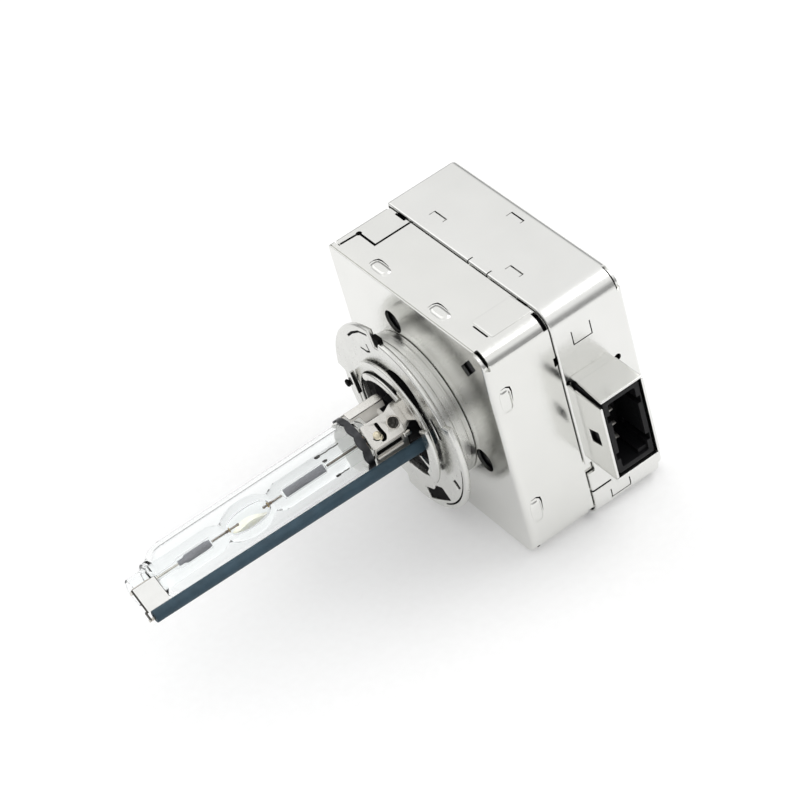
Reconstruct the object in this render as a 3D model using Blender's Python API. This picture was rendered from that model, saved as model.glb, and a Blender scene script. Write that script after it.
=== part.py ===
"""Gas-discharge headlight bulb with its igniter box.

Every piece is drawn in the lamp's own axes: the origin is on the lamp axis at
the reference plane, the burner points along -Y, the igniter box lies towards
+Y, the electrical connector faces +X and +Z is up.  An empty carries all of
them to the part's frame, whose origin is on the box's bottom face, straight
below the lamp axis.
"""
import math

import bmesh
import bpy
from mathutils import Vector
from mathutils.geometry import tessellate_polygon

MM = 0.001
GAP = 0.3 * MM

# ---------------------------------------------------------------- dimensions
# Igniter box
FACE_Y = 6.0 * MM
SEAM_Y = 17.65 * MM
BACK_Y = 31.0 * MM
BOX_X = 2.3 * MM
BOX_Z = 1.4 * MM
SHELL_HALF = 20.2 * MM
SHELL_SHEET = 0.5 * MM
COVER_HALF = 20.65 * MM
COVER_SHEET = 0.4 * MM
COLLAR_HALF = COVER_HALF - COVER_SHEET - 0.35 * MM
COLLAR_SHEET = 0.55 * MM
COLLAR_END = 21.6 * MM
STEP = COVER_HALF - SHELL_HALF
EDGE_RADIUS = 3.0 * MM
SMALL_RADIUS = 0.5 * MM
FACE_HOLE_R = 9.0 * MM
SMALL_HOLE_R = 2.0 * MM
SMALL_HOLES = ((-3.2 * MM, 14.3 * MM), (14.1 * MM, -3.7 * MM))
CORNER_SLOT = (17.2 * MM, 17.0 * MM)
CORNER_SLOT_SIZE = (4.3 * MM, 1.9 * MM)
HALF_PIERCES = ((-8.9 * MM, 21.25 * MM), (10.65 * MM, 21.25 * MM), (0.85 * MM, 28.8 * MM))
BUMP_X = (-6.5 * MM, 8.9 * MM)
BUMP_Z = (12.3 * MM, -10.3 * MM)
BUMP_HALF = 2.1 * MM
BUMP_Y = (7.0 * MM, 9.0 * MM)

# Connector on the +X side
MOUTH_X = 30.2 * MM
GUARD_Y = (18.4 * MM, 26.6 * MM)
GUARD_Z = (-6.9 * MM, 8.9 * MM)
SOCKET_BACK_X = 19.6 * MM
SOCKET_FLOOR_X = 22.6 * MM
SOCKET_WALL = 0.9 * MM
PIN_ROWS = (4.8 * MM, 2.0 * MM, -0.8 * MM, -3.6 * MM)
PIN_HALF = 0.45 * MM
PIN_BEND_X = 17.4 * MM
PIN_TIP_X = 25.8 * MM
KEY_WIDTH = 1.6 * MM
KEY_HEIGHT = 0.8 * MM
# Window in the guard's side, as (x, z) corners in millimetres
WINDOW = [(25.0, -0.2), (26.5, -1.5), (28.0, 0.3), (26.9, 1.5)]

# Base
RECESS_R = 14.6 * MM
LOBE_R = 16.45 * MM
FLANGE_Y = (1.0 * MM, 2.0 * MM)
FLANGE_BORE_R = 9.6 * MM
DRUM_R = 12.65 * MM
DRUM_WALL = 0.5 * MM
RING_Y = (0.1 * MM, 0.7 * MM)
RING_R = 9.3 * MM
NECK_R = FACE_HOLE_R - GAP
CAGE_FRONT = -6.9 * MM
CAGE_BACK = -0.2 * MM
CAGE_OUTER_R = 5.1 * MM
CAGE_INNER_R = 4.8 * MM
BAND_Y = (-8.35 * MM, -7.2 * MM)
# Openings and tongues seen along the lamp axis, as (x, z) corners in millimetres
KEYHOLE = [(1.8, -13.5), (4.6, -12.4), (5.4, -11.0), (7.4, -10.2), (9.2, -11.8), (4.9, -14.3),
           (2.4, -15.6)]
RIGHT_TONGUE = [(5.9, 2.4), (7.6, 3.5), (8.1, 3.9), (8.9, -1.0), (8.0, -4.1), (6.2, -6.9),
                (5.2, -6.9), (5.9, -2.6)]
LEFT_TONGUE = [(-8.3, 3.4), (-7.6, 3.0), (-6.4, 0.5), (-6.6, -2.4), (-7.7, -4.4), (-8.3, -3.3)]

# Burner
TUBE_R = 4.5 * MM
TUBE_WALL = 1.0 * MM
TUBE_FRONT_Y = -45.4 * MM
TUBE_REAR_Y = -5.2 * MM
ARC_Y = -27.1 * MM
ARC_GAP = 4.2 * MM
LEG_R = 2.3 * MM
TAIL_Y = -48.4 * MM
FOIL_WIDTH = 1.4 * MM
ROD_X = 6.4 * MM
ROD_Z = -0.37 * MM
ROD_R = 1.0 * MM
ROD_TIP_Y = -48.75 * MM
WIRE_R = 0.25 * MM
# Where the folded front lead lies beside the tail, as (x, z)
LEAD_BACK = (1.69 * MM, 2.24 * MM)

# Inside the box
TRAY_HALF = 19.0 * MM
TRAY_WALL = 0.8 * MM
BOARD_Y = (11.6 * MM, 12.6 * MM)
BOARD_HALF = 17.6 * MM
COIL_X = -8.0 * MM
COIL_Y = 20.5 * MM
SPARK_GAP = (9.0 * MM, 18.2 * MM, 14.2 * MM)
CONTACT_R = 1.2 * MM
COIL_PITCH = 5.4 * MM
WEB = 0.8 * MM

# The part's origin: on the box's bottom face, straight below the lamp axis
AXIS_HEIGHT = COVER_HALF - BOX_Z
ORIGIN_Y = 24.3 * MM

# ------------------------------------------------------------------ materials
STEEL = (0.80, 0.79, 0.76)
DARK_STEEL = (0.10, 0.11, 0.13)
QUARTZ = (0.86, 0.90, 0.92)
CERAMIC = (0.07, 0.12, 0.18)
BLACK_PLASTIC = (0.02, 0.02, 0.025)
TUNGSTEN = (0.30, 0.28, 0.26)
FOIL = (0.22, 0.22, 0.24)
NICKEL = (0.68, 0.66, 0.62)
COPPER = (0.72, 0.40, 0.22)
FERRITE = (0.08, 0.08, 0.085)
BOARD = (0.05, 0.22, 0.12)
FILM = (0.62, 0.46, 0.12)
ALUMINA = (0.80, 0.78, 0.74)


def material(name, colour, roughness, metallic=0.0, alpha=1.0):
    """One Principled material, made once and shared by name."""
    found = bpy.data.materials.get(name)
    if found:
        return found
    made = bpy.data.materials.new(name)
    made.use_nodes = True
    shader = made.node_tree.nodes["Principled BSDF"]
    shader.inputs["Base Color"].default_value = (*colour, 1.0)
    shader.inputs["Roughness"].default_value = roughness
    shader.inputs["Metallic"].default_value = metallic
    shader.inputs["Alpha"].default_value = alpha
    made.diffuse_color = (*colour, alpha)
    return made


# -------------------------------------------------------------- mesh helpers
def finish(name, bm, look, parent, smooth=False):
    """Turn a bmesh into a named object with outward faces under its parent."""
    bmesh.ops.recalc_face_normals(bm, faces=bm.faces[:])
    mesh = bpy.data.meshes.new(name)
    bm.to_mesh(mesh)
    bm.free()
    obj = bpy.data.objects.new(name, mesh)
    bpy.context.scene.collection.objects.link(obj)
    obj.parent = parent
    if look:
        mesh.materials.append(look)
    if smooth:
        mesh.shade_smooth()
        mesh.set_sharp_from_angle(angle=math.radians(35))
    return obj


def place(u, v, w, plane):
    """A point of a drawing plane (u, v) at depth w, in lamp axes."""
    if plane == "XZ":
        return Vector((u, w, v))
    if plane == "YZ":
        return Vector((w, u, v))
    return Vector((u, v, w))


def add_prism(bm, outline, plane, low, high, holes=()):
    """Extrude an outline with holes between two depths of a drawing plane."""
    loops = [list(outline)] + [list(hole) for hole in holes]
    flat = [[Vector((u, v, 0.0)) for u, v in loop] for loop in loops]
    caps = tessellate_polygon(flat)
    points = [point for loop in loops for point in loop]
    front = [bm.verts.new(place(u, v, low, plane)) for u, v in points]
    back = [bm.verts.new(place(u, v, high, plane)) for u, v in points]
    for a, b, c in caps:
        bm.faces.new((front[a], front[b], front[c]))
        bm.faces.new((back[c], back[b], back[a]))
    start = 0
    for loop in loops:
        count = len(loop)
        for i in range(count):
            j = start + (i + 1) % count
            i = start + i
            bm.faces.new((front[i], front[j], back[j], back[i]))
        start += count


def prism(name, outline, plane, low, high, look, parent, holes=()):
    bm = bmesh.new()
    add_prism(bm, outline, plane, low, high, holes)
    return finish(name, bm, look, parent)


def add_lathe(bm, profile, segments, centre=(0.0, 0.0, 0.0), axis="Y"):
    """Turn a closed profile of (along, radius) points around an axis."""
    rings = []
    for along, radius in profile:
        if radius < 1e-9:
            rings.append([bm.verts.new(turned(along, 0.0, 0.0, centre, axis))])
            continue
        ring = []
        for k in range(segments):
            angle = 2.0 * math.pi * k / segments
            ring.append(bm.verts.new(turned(along, radius, angle, centre, axis)))
        rings.append(ring)
    for ring, following in zip(rings, rings[1:] + rings[:1]):
        if len(ring) == 1 and len(following) == 1:
            continue
        for k in range(segments):
            m = (k + 1) % segments
            if len(ring) == 1:
                bm.faces.new((ring[0], following[m], following[k]))
            elif len(following) == 1:
                bm.faces.new((ring[k], ring[m], following[0]))
            else:
                bm.faces.new((ring[k], ring[m], following[m], following[k]))


def turned(along, radius, angle, centre, axis):
    across = radius * math.cos(angle)
    up = radius * math.sin(angle)
    x, y, z = centre
    if axis == "Y":
        return Vector((x + across, y + along, z + up))
    if axis == "X":
        return Vector((x + along, y + across, z + up))
    return Vector((x + across, y + up, z + along))


def lathe(name, profile, segments, look, parent, centre=(0.0, 0.0, 0.0), axis="Y"):
    bm = bmesh.new()
    add_lathe(bm, profile, segments, centre, axis)
    return finish(name, bm, look, parent, smooth=True)


def add_sweep(bm, path, section, up=Vector((0.0, 0.0, 1.0))):
    """Carry a closed section of (side, up) points along a path, with mitres."""
    points = [Vector(p) for p in path]
    rings = []
    for i, point in enumerate(points):
        before = (point - points[i - 1]).normalized() if i else None
        after = (points[i + 1] - point).normalized() if i + 1 < len(points) else None
        along = ((before or after) + (after or before)).normalized()
        stretch = 1.0 / max(0.5, along.dot(after or before))
        side = up.cross(along).normalized()
        rise = along.cross(side).normalized()
        bend = (after - before) if before and after else Vector((0.0, 0.0, 0.0))
        ring = []
        for s, r in section:
            offset = side * s + rise * r
            if bend.length > 1e-6:
                inward = bend.normalized()
                offset += inward * offset.dot(inward) * (stretch - 1.0)
            ring.append(bm.verts.new(point + offset))
        rings.append(ring)
    count = len(section)
    for ring, following in zip(rings, rings[1:]):
        for k in range(count):
            m = (k + 1) % count
            bm.faces.new((ring[k], ring[m], following[m], following[k]))
    bm.faces.new(rings[0][::-1])
    bm.faces.new(rings[-1])


def round_section(radius, sides):
    return [(radius * math.cos(2.0 * math.pi * k / sides), radius * math.sin(2.0 * math.pi * k / sides))
            for k in range(sides)]


def wire(name, path, radius, sides, look, parent, up=Vector((0.0, 0.0, 1.0))):
    bm = bmesh.new()
    add_sweep(bm, path, round_section(radius, sides), up)
    return finish(name, bm, look, parent, smooth=True)


# ------------------------------------------------------------ outline helpers
def in_metres(points):
    """Corners given in millimetres, turned into metres."""
    return [(u * MM, v * MM) for u, v in points]


def rectangle(u0, u1, v0, v1):
    return [(u0, v0), (u1, v0), (u1, v1), (u0, v1)]


def arc(centre, radius, start, end, steps):
    """Points of an arc in degrees, both ends included."""
    points = []
    for k in range(steps + 1):
        angle = math.radians(start + (end - start) * k / steps)
        points.append((centre[0] + radius * math.cos(angle), centre[1] + radius * math.sin(angle)))
    return points


def circle(centre, radius, steps):
    return arc(centre, radius, 0.0, 360.0 * (steps - 1) / steps, steps - 1)


def box_outline(half, top_right, others):
    """The box's section: a square whose edge above the connector is rounder."""
    corners = [(1, 1, top_right, 0.0), (-1, 1, others, 90.0), (-1, -1, others, 180.0),
               (1, -1, top_right, 270.0)]
    points = []
    for sx, sz, radius, start in corners:
        centre = (BOX_X + sx * (half - radius), BOX_Z + sz * (half - radius))
        points += arc(centre, radius, start, start + 90.0, 5)
    return points


def turned_rectangle(centre, length, width, degrees):
    """A rectangle turned about its own centre."""
    angle = math.radians(degrees)
    points = []
    for u, v in rectangle(-length / 2, length / 2, -width / 2, width / 2):
        points.append((centre[0] + u * math.cos(angle) - v * math.sin(angle),
                       centre[1] + u * math.sin(angle) + v * math.cos(angle)))
    return points


def boolean(target, tool, operation):
    """Join or cut a tool body, then drop the tool."""
    change = target.modifiers.new(operation.lower(), "BOOLEAN")
    change.operation = operation
    change.solver = "EXACT"
    change.object = tool
    bpy.context.view_layer.update()
    graph = bpy.context.evaluated_depsgraph_get()
    result = bpy.data.meshes.new_from_object(target.evaluated_get(graph))
    target.modifiers.clear()
    target.data = result
    bpy.data.objects.remove(tool)


def tool_prism(outline, plane, low, high, parent, holes=()):
    tool = prism("tool", outline, plane, low, high, None, parent, holes)
    tool.hide_render = True
    tool.display_type = "WIRE"
    return tool


def cut(target, outline, plane, low, high, parent):
    boolean(target, tool_prism(outline, plane, low, high, parent), "DIFFERENCE")


def join(target, outline, plane, low, high, parent):
    boolean(target, tool_prism(outline, plane, low, high, parent), "UNION")


# -------------------------------------------------------------- igniter box
def open_cup(name, outer, inner, floor, rim, floor_inside, look, parent):
    """A sheet cup: its floor lies between floor and floor_inside, its rim is open."""
    cup = prism(name, outer, "XZ", min(floor, rim), max(floor, rim), look, parent)
    past_rim = rim + (rim - floor) * 0.1
    cut(cup, inner, "XZ", min(floor_inside, past_rim), max(floor_inside, past_rim), parent)
    return cup


def front_shell(look, parent):
    """Deep cup round the igniter's front half, stepped in where the cover laps it."""
    outer = box_outline(SHELL_HALF, EDGE_RADIUS, SMALL_RADIUS)
    inner = box_outline(SHELL_HALF - SHELL_SHEET, EDGE_RADIUS - SHELL_SHEET, SMALL_RADIUS / 2)
    floor_inside = FACE_Y + SHELL_SHEET
    shell = open_cup("front_shell", outer, inner, FACE_Y, SEAM_Y - GAP, floor_inside, look, parent)
    collar_bore = COLLAR_HALF - COLLAR_SHEET
    collar_outer = box_outline(COLLAR_HALF, EDGE_RADIUS - GAP, SMALL_RADIUS)
    collar_inner = box_outline(collar_bore, EDGE_RADIUS - SHELL_SHEET - GAP, SMALL_RADIUS / 2)
    step_y = SEAM_Y - GAP - SHELL_SHEET
    collar = tool_prism(collar_outer, "XZ", step_y, COLLAR_END, parent, holes=[collar_inner])
    boolean(shell, collar, "UNION")
    face = (FACE_Y - MM, FACE_Y + MM)
    cut(shell, circle((0.0, 0.0), FACE_HOLE_R, 40), "XZ", *face, parent)
    for centre in SMALL_HOLES:
        cut(shell, circle(centre, SMALL_HOLE_R, 20), "XZ", *face, parent)
    slot = turned_rectangle(CORNER_SLOT, *CORNER_SLOT_SIZE, 45.0)
    cut(shell, slot, "XZ", *face, parent)
    side = BOX_X + COLLAR_HALF
    window = rectangle(GUARD_Y[0] - GAP, COLLAR_END + MM, GUARD_Z[0] - GAP, GUARD_Z[1] + GAP)
    cut(shell, window, "YZ", side - MM, side + MM, parent)
    add_bumps(shell, parent)
    return shell


def add_bumps(shell, parent):
    """Pressed bumps, as high as the cover's step, two on each of the four sides."""
    for sign in (1, -1):
        for x in BUMP_X:
            outline = bump_outline(x, BOX_Z + sign * SHELL_HALF, sign)
            join(shell, outline, "XZ", *BUMP_Y, parent)
        for z in BUMP_Z:
            outline = bump_outline(z, BOX_X + sign * SHELL_HALF, sign)
            join(shell, [(v, u) for u, v in outline], "XZ", *BUMP_Y, parent)


def bump_outline(centre, wall, outward):
    """Trapezoid that stands on a wall, its root sunk into the sheet."""
    low, high = centre - BUMP_HALF, centre + BUMP_HALF
    slope = 0.35 * MM
    root = wall - outward * 0.2 * MM
    crest = wall + outward * STEP
    return [(low, root), (high, root), (high, wall), (high - slope, crest), (low + slope, crest),
            (low, wall)]


def rear_cover(look, parent):
    """Cup that laps over the front shell, with the connector's guard bent out of its side."""
    outer = box_outline(COVER_HALF, EDGE_RADIUS + STEP, SMALL_RADIUS)
    inner = box_outline(COVER_HALF - COVER_SHEET, EDGE_RADIUS + STEP - COVER_SHEET, SMALL_RADIUS / 2)
    cover = open_cup("rear_cover", outer, inner, BACK_Y, SEAM_Y, BACK_Y - SHELL_SHEET, look, parent)
    side = BOX_X + COVER_HALF
    join(cover, rectangle(*GUARD_Y, *GUARD_Z), "YZ", side - COVER_SHEET * 0.8, MOUTH_X, parent)
    y0, y1 = GUARD_Y[0] + COVER_SHEET, GUARD_Y[1] - COVER_SHEET
    z0, z1 = GUARD_Z[0] + COVER_SHEET, GUARD_Z[1] - COVER_SHEET
    cut(cover, rectangle(y0, y1, z0, z1), "YZ", side - 2 * MM, MOUTH_X + MM, parent)
    cut(cover, in_metres(WINDOW), "XZ", GUARD_Y[0] - MM, y0 + GAP, parent)
    for x, y in HALF_PIERCES:
        half_pierce(cover, x, y, parent)
    return cover


def half_pierce(cover, x, y, parent):
    """A small slit across the top, where a tongue of the sheet is pressed inwards."""
    half, width = 1.6 * MM, 0.3 * MM
    top = BOX_Z + COVER_HALF
    cut(cover, rectangle(x - half, x + half, y, y + width), "XY", top - MM, top + MM, parent)


def connector_socket(look, parent):
    """Moulded socket inside the guard, its floor bored for the four pins."""
    inset = COVER_SHEET + GAP
    y0, y1 = GUARD_Y[0] + inset, GUARD_Y[1] - inset
    z0, z1 = GUARD_Z[0] + inset, GUARD_Z[1] - inset
    mouth = MOUTH_X - 0.4 * MM
    socket = prism("connector_socket", rectangle(y0, y1, z0, z1), "YZ", SOCKET_BACK_X, mouth, look, parent)
    cavity = rectangle(y0 + SOCKET_WALL, y1 - SOCKET_WALL, z0 + SOCKET_WALL, z1 - SOCKET_WALL)
    cut(socket, cavity, "YZ", SOCKET_FLOOR_X, MOUTH_X + MM, parent)
    half_wall = SOCKET_WALL / 2
    key_side = y1 - SOCKET_WALL - KEY_WIDTH
    key_top = z0 + SOCKET_WALL + KEY_HEIGHT
    key = rectangle(key_side, y1 - half_wall, z0 + half_wall, key_top)
    join(socket, key, "YZ", SOCKET_FLOOR_X - GAP, mouth - 0.5 * MM, parent)
    middle = (GUARD_Y[0] + GUARD_Y[1]) / 2
    reach = PIN_HALF + GAP
    for z in PIN_ROWS:
        bore = rectangle(middle - reach, middle + reach, z - reach, z + reach)
        cut(socket, bore, "YZ", SOCKET_BACK_X - MM, SOCKET_FLOOR_X + MM, parent)
    return socket


def contact_pin(number, look, parent):
    """One square pin, bent down to the board behind the socket."""
    z = PIN_ROWS[number - 1]
    y = (GUARD_Y[0] + GUARD_Y[1]) / 2
    half = PIN_HALF
    path = [(PIN_TIP_X, y, z), (PIN_BEND_X, y, z), (PIN_BEND_X, BOARD_Y[1] + GAP, z)]
    section = rectangle(-half, half, -half, half)
    bm = bmesh.new()
    add_sweep(bm, path, section)
    return finish(f"contact_pin_{number}", bm, look, parent)


# -------------------------------------------------------------- base of lamp
def flange_outline():
    """Edge of the flange: two wide lobes with round recesses between them."""
    centre = (0.0, 0.0)
    points = arc(centre, LOBE_R, -103.0, 24.0, 20)
    points += arc(centre, RECESS_R, 24.3, 92.0, 12)
    points += arc(centre, 13.6 * MM, 92.3, 97.7, 2)
    points += arc(centre, LOBE_R, 98.0, 175.0, 14)
    points += arc(centre, RECESS_R, 175.3, 256.7, 14)
    return points


def flange_plate(look, parent):
    """Reference flange: the lamp holder grips its lobes and locates on its front face."""
    band = arc((0.0, 0.0), 12.4 * MM, 43.0, 83.0, 8) + arc((0.0, 0.0), 10.6 * MM, 83.0, 43.0, 8)
    short = arc((0.0, 0.0), 12.5 * MM, 12.0, 30.0, 4) + arc((0.0, 0.0), 11.4 * MM, 30.0, 12.0, 4)
    square = turned_rectangle((12.7 * MM, -6.1 * MM), 1.5 * MM, 1.5 * MM, 45.0)
    bore = circle((0.0, 0.0), FLANGE_BORE_R, 40)
    return prism("flange_plate", flange_outline(), "XZ", *FLANGE_Y, look, parent,
                 holes=[bore, band, short, in_metres(KEYHOLE), square])


def base_drum(look, parent):
    """Short drum between the flange and the box."""
    front, foot = FLANGE_Y[1] + GAP, FACE_Y - GAP
    inside = DRUM_R - DRUM_WALL
    profile = [(front, inside), (front, DRUM_R), (foot, DRUM_R), (foot, inside)]
    return lathe("base_drum", profile, 56, look, parent)


def mount_ring(look, parent):
    """Thin ring welded on the flange, with inward tongues that carry the burner's holder."""
    front, back = RING_Y
    bore = circle((0.0, 0.0), 8.6 * MM, 40)
    ring = prism("mount_ring", circle((0.0, 0.0), RING_R, 48), "XZ", front, back, look, parent, holes=[bore])
    arch = arc((0.0, 0.0), 9.0 * MM, 60.0, 125.0, 10) + arc((0.0, 0.0), 6.6 * MM, 118.0, 66.0, 8)
    trim = 0.03 * MM
    join(ring, in_metres(RIGHT_TONGUE), "XZ", front + trim, back - trim, parent)
    join(ring, in_metres(LEFT_TONGUE), "XZ", front + 2 * trim, back - 2 * trim, parent)
    join(ring, arch, "XZ", front + 3 * trim, back - 3 * trim, parent)
    cut(ring, circle((ROD_X, ROD_Z), ROD_R + GAP, 16), "XZ", front - MM, back + MM, parent)
    return ring


def base_core(look, parent):
    """Moulded insulator inside the drum, bored for the high-voltage contact and the rod."""
    radius = DRUM_R - DRUM_WALL - GAP
    step_y = FACE_Y - GAP
    front, back = FLANGE_Y[1] + GAP, 9.5 * MM
    bore = CONTACT_R + GAP
    profile = [(front, bore), (front, radius), (step_y, radius), (step_y, NECK_R), (back, NECK_R),
               (back, bore)]
    core = lathe("base_core", profile, 40, look, parent)
    cut(core, circle((ROD_X, ROD_Z), ROD_R + GAP, 16), "XZ", front - MM, back + MM, parent)
    return core


def burner_holder(look, parent):
    """Sheet cage of flat leaves round the burner's rear end, with feet on the ring."""
    sides, turn = 8, 22.5
    cage = prism("burner_holder", polygon(CAGE_OUTER_R, sides, turn), "XZ", CAGE_FRONT, CAGE_BACK, look,
                 parent, holes=[polygon(CAGE_INNER_R, sides, turn)])
    foot_front = CAGE_BACK - 0.3 * MM
    foot_inner, foot_outer, half = 4.9 * MM, 9.2 * MM, 1.5 * MM
    for degrees in (90.0, 180.0, 270.0):
        middle = (foot_inner + foot_outer) / 2
        angle = math.radians(degrees)
        centre = (middle * math.cos(angle), middle * math.sin(angle))
        foot = turned_rectangle(centre, foot_outer - foot_inner, 2 * half, degrees)
        join(cage, foot, "XZ", foot_front, CAGE_BACK + 0.02 * MM, parent)
    for degrees in (45.0, 135.0, 225.0, 315.0):
        angle = math.radians(degrees)
        centre = (CAGE_OUTER_R * math.cos(angle), CAGE_OUTER_R * math.sin(angle))
        gap = turned_rectangle(centre, 3.0 * MM, 1.6 * MM, degrees)
        cut(cage, gap, "XZ", CAGE_FRONT + 1.6 * MM, CAGE_BACK + MM, parent)
    return cage


def polygon(radius, sides, turn):
    """Corners of a regular polygon whose flats lie at the radius."""
    corner = radius / math.cos(math.pi / sides)
    points = []
    for k in range(sides):
        angle = math.radians(turn + 360.0 * k / sides)
        points.append((corner * math.cos(angle), corner * math.sin(angle)))
    return points


def clamp_band(look, parent):
    """Spring band round the glass at the cage's front edge, its front edge scalloped."""
    bm = bmesh.new()
    inner, outer = TUBE_R + GAP, CAGE_OUTER_R
    front, rear = BAND_Y
    count, wave = 60, 0.35 * MM
    corners = [(rear, outer), (rear, inner), (front, inner), (front, outer)]
    loops = []
    for y, radius in corners:
        loop = []
        for k in range(count):
            angle = 2.0 * math.pi * k / count
            edge = y - wave * abs(math.sin(5.0 * angle)) if y == front else y
            loop.append(bm.verts.new((radius * math.cos(angle), edge, radius * math.sin(angle))))
        loops.append(loop)
    for loop, following in zip(loops, loops[1:] + loops[:1]):
        for k in range(count):
            m = (k + 1) % count
            bm.faces.new((loop[k], loop[m], following[m], following[k]))
    return finish("clamp_band", bm, look, parent, smooth=True)


# -------------------------------------------------------------------- burner
def ellipse_profile(centre_y, half_length, radius, start, end, steps):
    """Points of half an ellipse in the (along, radius) plane, in degrees."""
    points = []
    for k in range(steps + 1):
        angle = math.radians(start + (end - start) * k / steps)
        points.append((centre_y + half_length * math.cos(angle), radius * math.sin(angle)))
    return points


def outer_tube(look, parent):
    """Quartz sleeve, drawn in at both ends round the arc tube's legs."""
    neck = LEG_R + GAP
    inside = TUBE_R - TUBE_WALL
    profile = [(TUBE_FRONT_Y, neck), (TUBE_FRONT_Y, 2.9 * MM), (TUBE_FRONT_Y + 0.2 * MM, 3.0 * MM),
               (-44.4 * MM, 3.1 * MM), (-43.9 * MM, 3.6 * MM), (-42.8 * MM, 4.2 * MM), (-41.5 * MM, TUBE_R),
               (-8.0 * MM, TUBE_R), (-7.0 * MM, TUBE_R), (-6.2 * MM, 4.2 * MM), (TUBE_REAR_Y, 3.4 * MM),
               (TUBE_REAR_Y, neck), (-6.4 * MM, neck), (-7.2 * MM, inside), (-41.6 * MM, inside),
               (-42.8 * MM, 3.1 * MM), (-43.6 * MM, neck)]
    return lathe("outer_tube", profile, 32, look, parent)


def arc_tube(look, parent):
    """Quartz vessel: two legs bored for foil and electrode round the arc chamber."""
    foil_bore, lead_bore, narrow = 1.0 * MM, 1.0 * MM, 0.5 * MM
    tail_bore = LEG_R - 0.4 * MM
    rear = -3.0 * MM
    bulb = ellipse_profile(ARC_Y, 5.0 * MM, 3.0 * MM, 150.0, 30.0, 10)
    cavity = ellipse_profile(ARC_Y, 3.85 * MM, 1.35 * MM, 22.0, 158.0, 10)
    outer = [(TAIL_Y, LEG_R), (-33.2 * MM, LEG_R), (-32.4 * MM, 1.75 * MM)] + bulb
    outer += [(-21.8 * MM, 1.75 * MM), (-21.0 * MM, LEG_R), (rear, LEG_R)]
    bore = [(rear, lead_bore), (-21.3 * MM, foil_bore), (-22.0 * MM, narrow)] + cavity
    bore += [(-32.2 * MM, narrow), (-33.9 * MM, foil_bore), (-41.8 * MM, foil_bore),
             (-43.0 * MM, tail_bore), (TAIL_Y, tail_bore)]
    return lathe("arc_tube", outer + bore, 24, look, parent)


def electrode(name, tip, root, look, parent):
    """Tungsten rod with a rounded tip."""
    radius = 0.18 * MM
    sign = 1.0 if root > tip else -1.0
    profile = [(tip, 0.0), (tip + sign * 0.12 * MM, radius), (root, radius), (root, 0.0)]
    return lathe(name, profile, 10, look, parent)


def foil(name, near, far, look, parent):
    """Molybdenum foil with feathered long edges."""
    half, thick = FOIL_WIDTH / 2, 0.05 * MM
    flat = half * 0.6
    outline = [(-half, 0.0), (-flat, thick), (flat, thick), (half, 0.0), (flat, -thick), (-flat, -thick)]
    turn = math.radians(45.0)
    turned_outline = [(u * math.cos(turn) - v * math.sin(turn), u * math.sin(turn) + v * math.cos(turn))
                      for u, v in outline]
    return prism(name, turned_outline, "XZ", min(near, far), max(near, far), look, parent)


def front_lead(look, parent):
    """Wire from the front foil out through the tail, folded back beside it."""
    x, z = LEAD_BACK
    end = TAIL_Y - 0.55 * MM
    bend_y = end + 0.5 * MM
    path = [(0.0, -40.7 * MM, 0.0), (0.0, bend_y, 0.0), (x * 0.2, end, z * 0.2), (x * 0.8, end, z * 0.8),
            (x, bend_y, z), (x, -45.9 * MM, z)]
    return wire("front_lead", path, 0.2 * MM, 8, look, parent, up=Vector((-z, 0.0, x)))


def rear_lead(look, parent):
    """Wire from the rear foil to the high-voltage contact."""
    path = [(0.0, -13.0 * MM, 0.0), (0.0, 0.5 * MM, 0.0)]
    return wire("rear_lead", path, 0.3 * MM, 8, look, parent)


def return_bracket(look, parent):
    """Thin strip from the folded lead to the rod, hooked over the rod's end."""
    start = Vector((*LEAD_BACK, 0.0))
    end = Vector((ROD_X, ROD_Z, 0.0))
    along = (end - start).normalized()
    across = Vector((-along.y, along.x, 0.0))
    half = 0.1 * MM
    near = start + along * 0.55 * MM
    far = end - along * (ROD_R + GAP)
    edge = [near + across * half, far + across * half, far - across * half, near - across * half]
    front, back = -49.5 * MM, -45.1 * MM
    bracket = prism("return_bracket", [(p.x, p.y) for p in edge], "XZ", front, back, look, parent)
    wide = 0.8 * MM
    root = far - along * 0.4 * MM
    tip = end + along * 0.9 * MM
    tab = [root + across * wide, tip + across * wide, tip - across * wide, root - across * wide]
    join(bracket, [(p.x, p.y) for p in tab], "XZ", front - 0.02 * MM, front + 0.3 * MM, parent)
    hole = circle((ROD_X, ROD_Z), WIRE_R + GAP, 12)
    cut(bracket, hole, "XZ", front - MM, front + 0.5 * MM, parent)
    return bracket


def ceramic_rod(look, parent):
    """Insulating tube round the return wire."""
    bore = WIRE_R + GAP
    rear = 9.2 * MM
    soft = 0.12 * MM
    profile = [(ROD_TIP_Y, bore), (ROD_TIP_Y, ROD_R - soft), (ROD_TIP_Y + soft, ROD_R), (rear, ROD_R),
               (rear, bore)]
    return lathe("ceramic_rod", profile, 18, look, parent, centre=(ROD_X, 0.0, ROD_Z))


def return_wire(look, parent):
    path = [(ROD_X, -49.7 * MM, ROD_Z), (ROD_X, 10.9 * MM, ROD_Z)]
    return wire("return_wire", path, WIRE_R, 8, look, parent)


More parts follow.
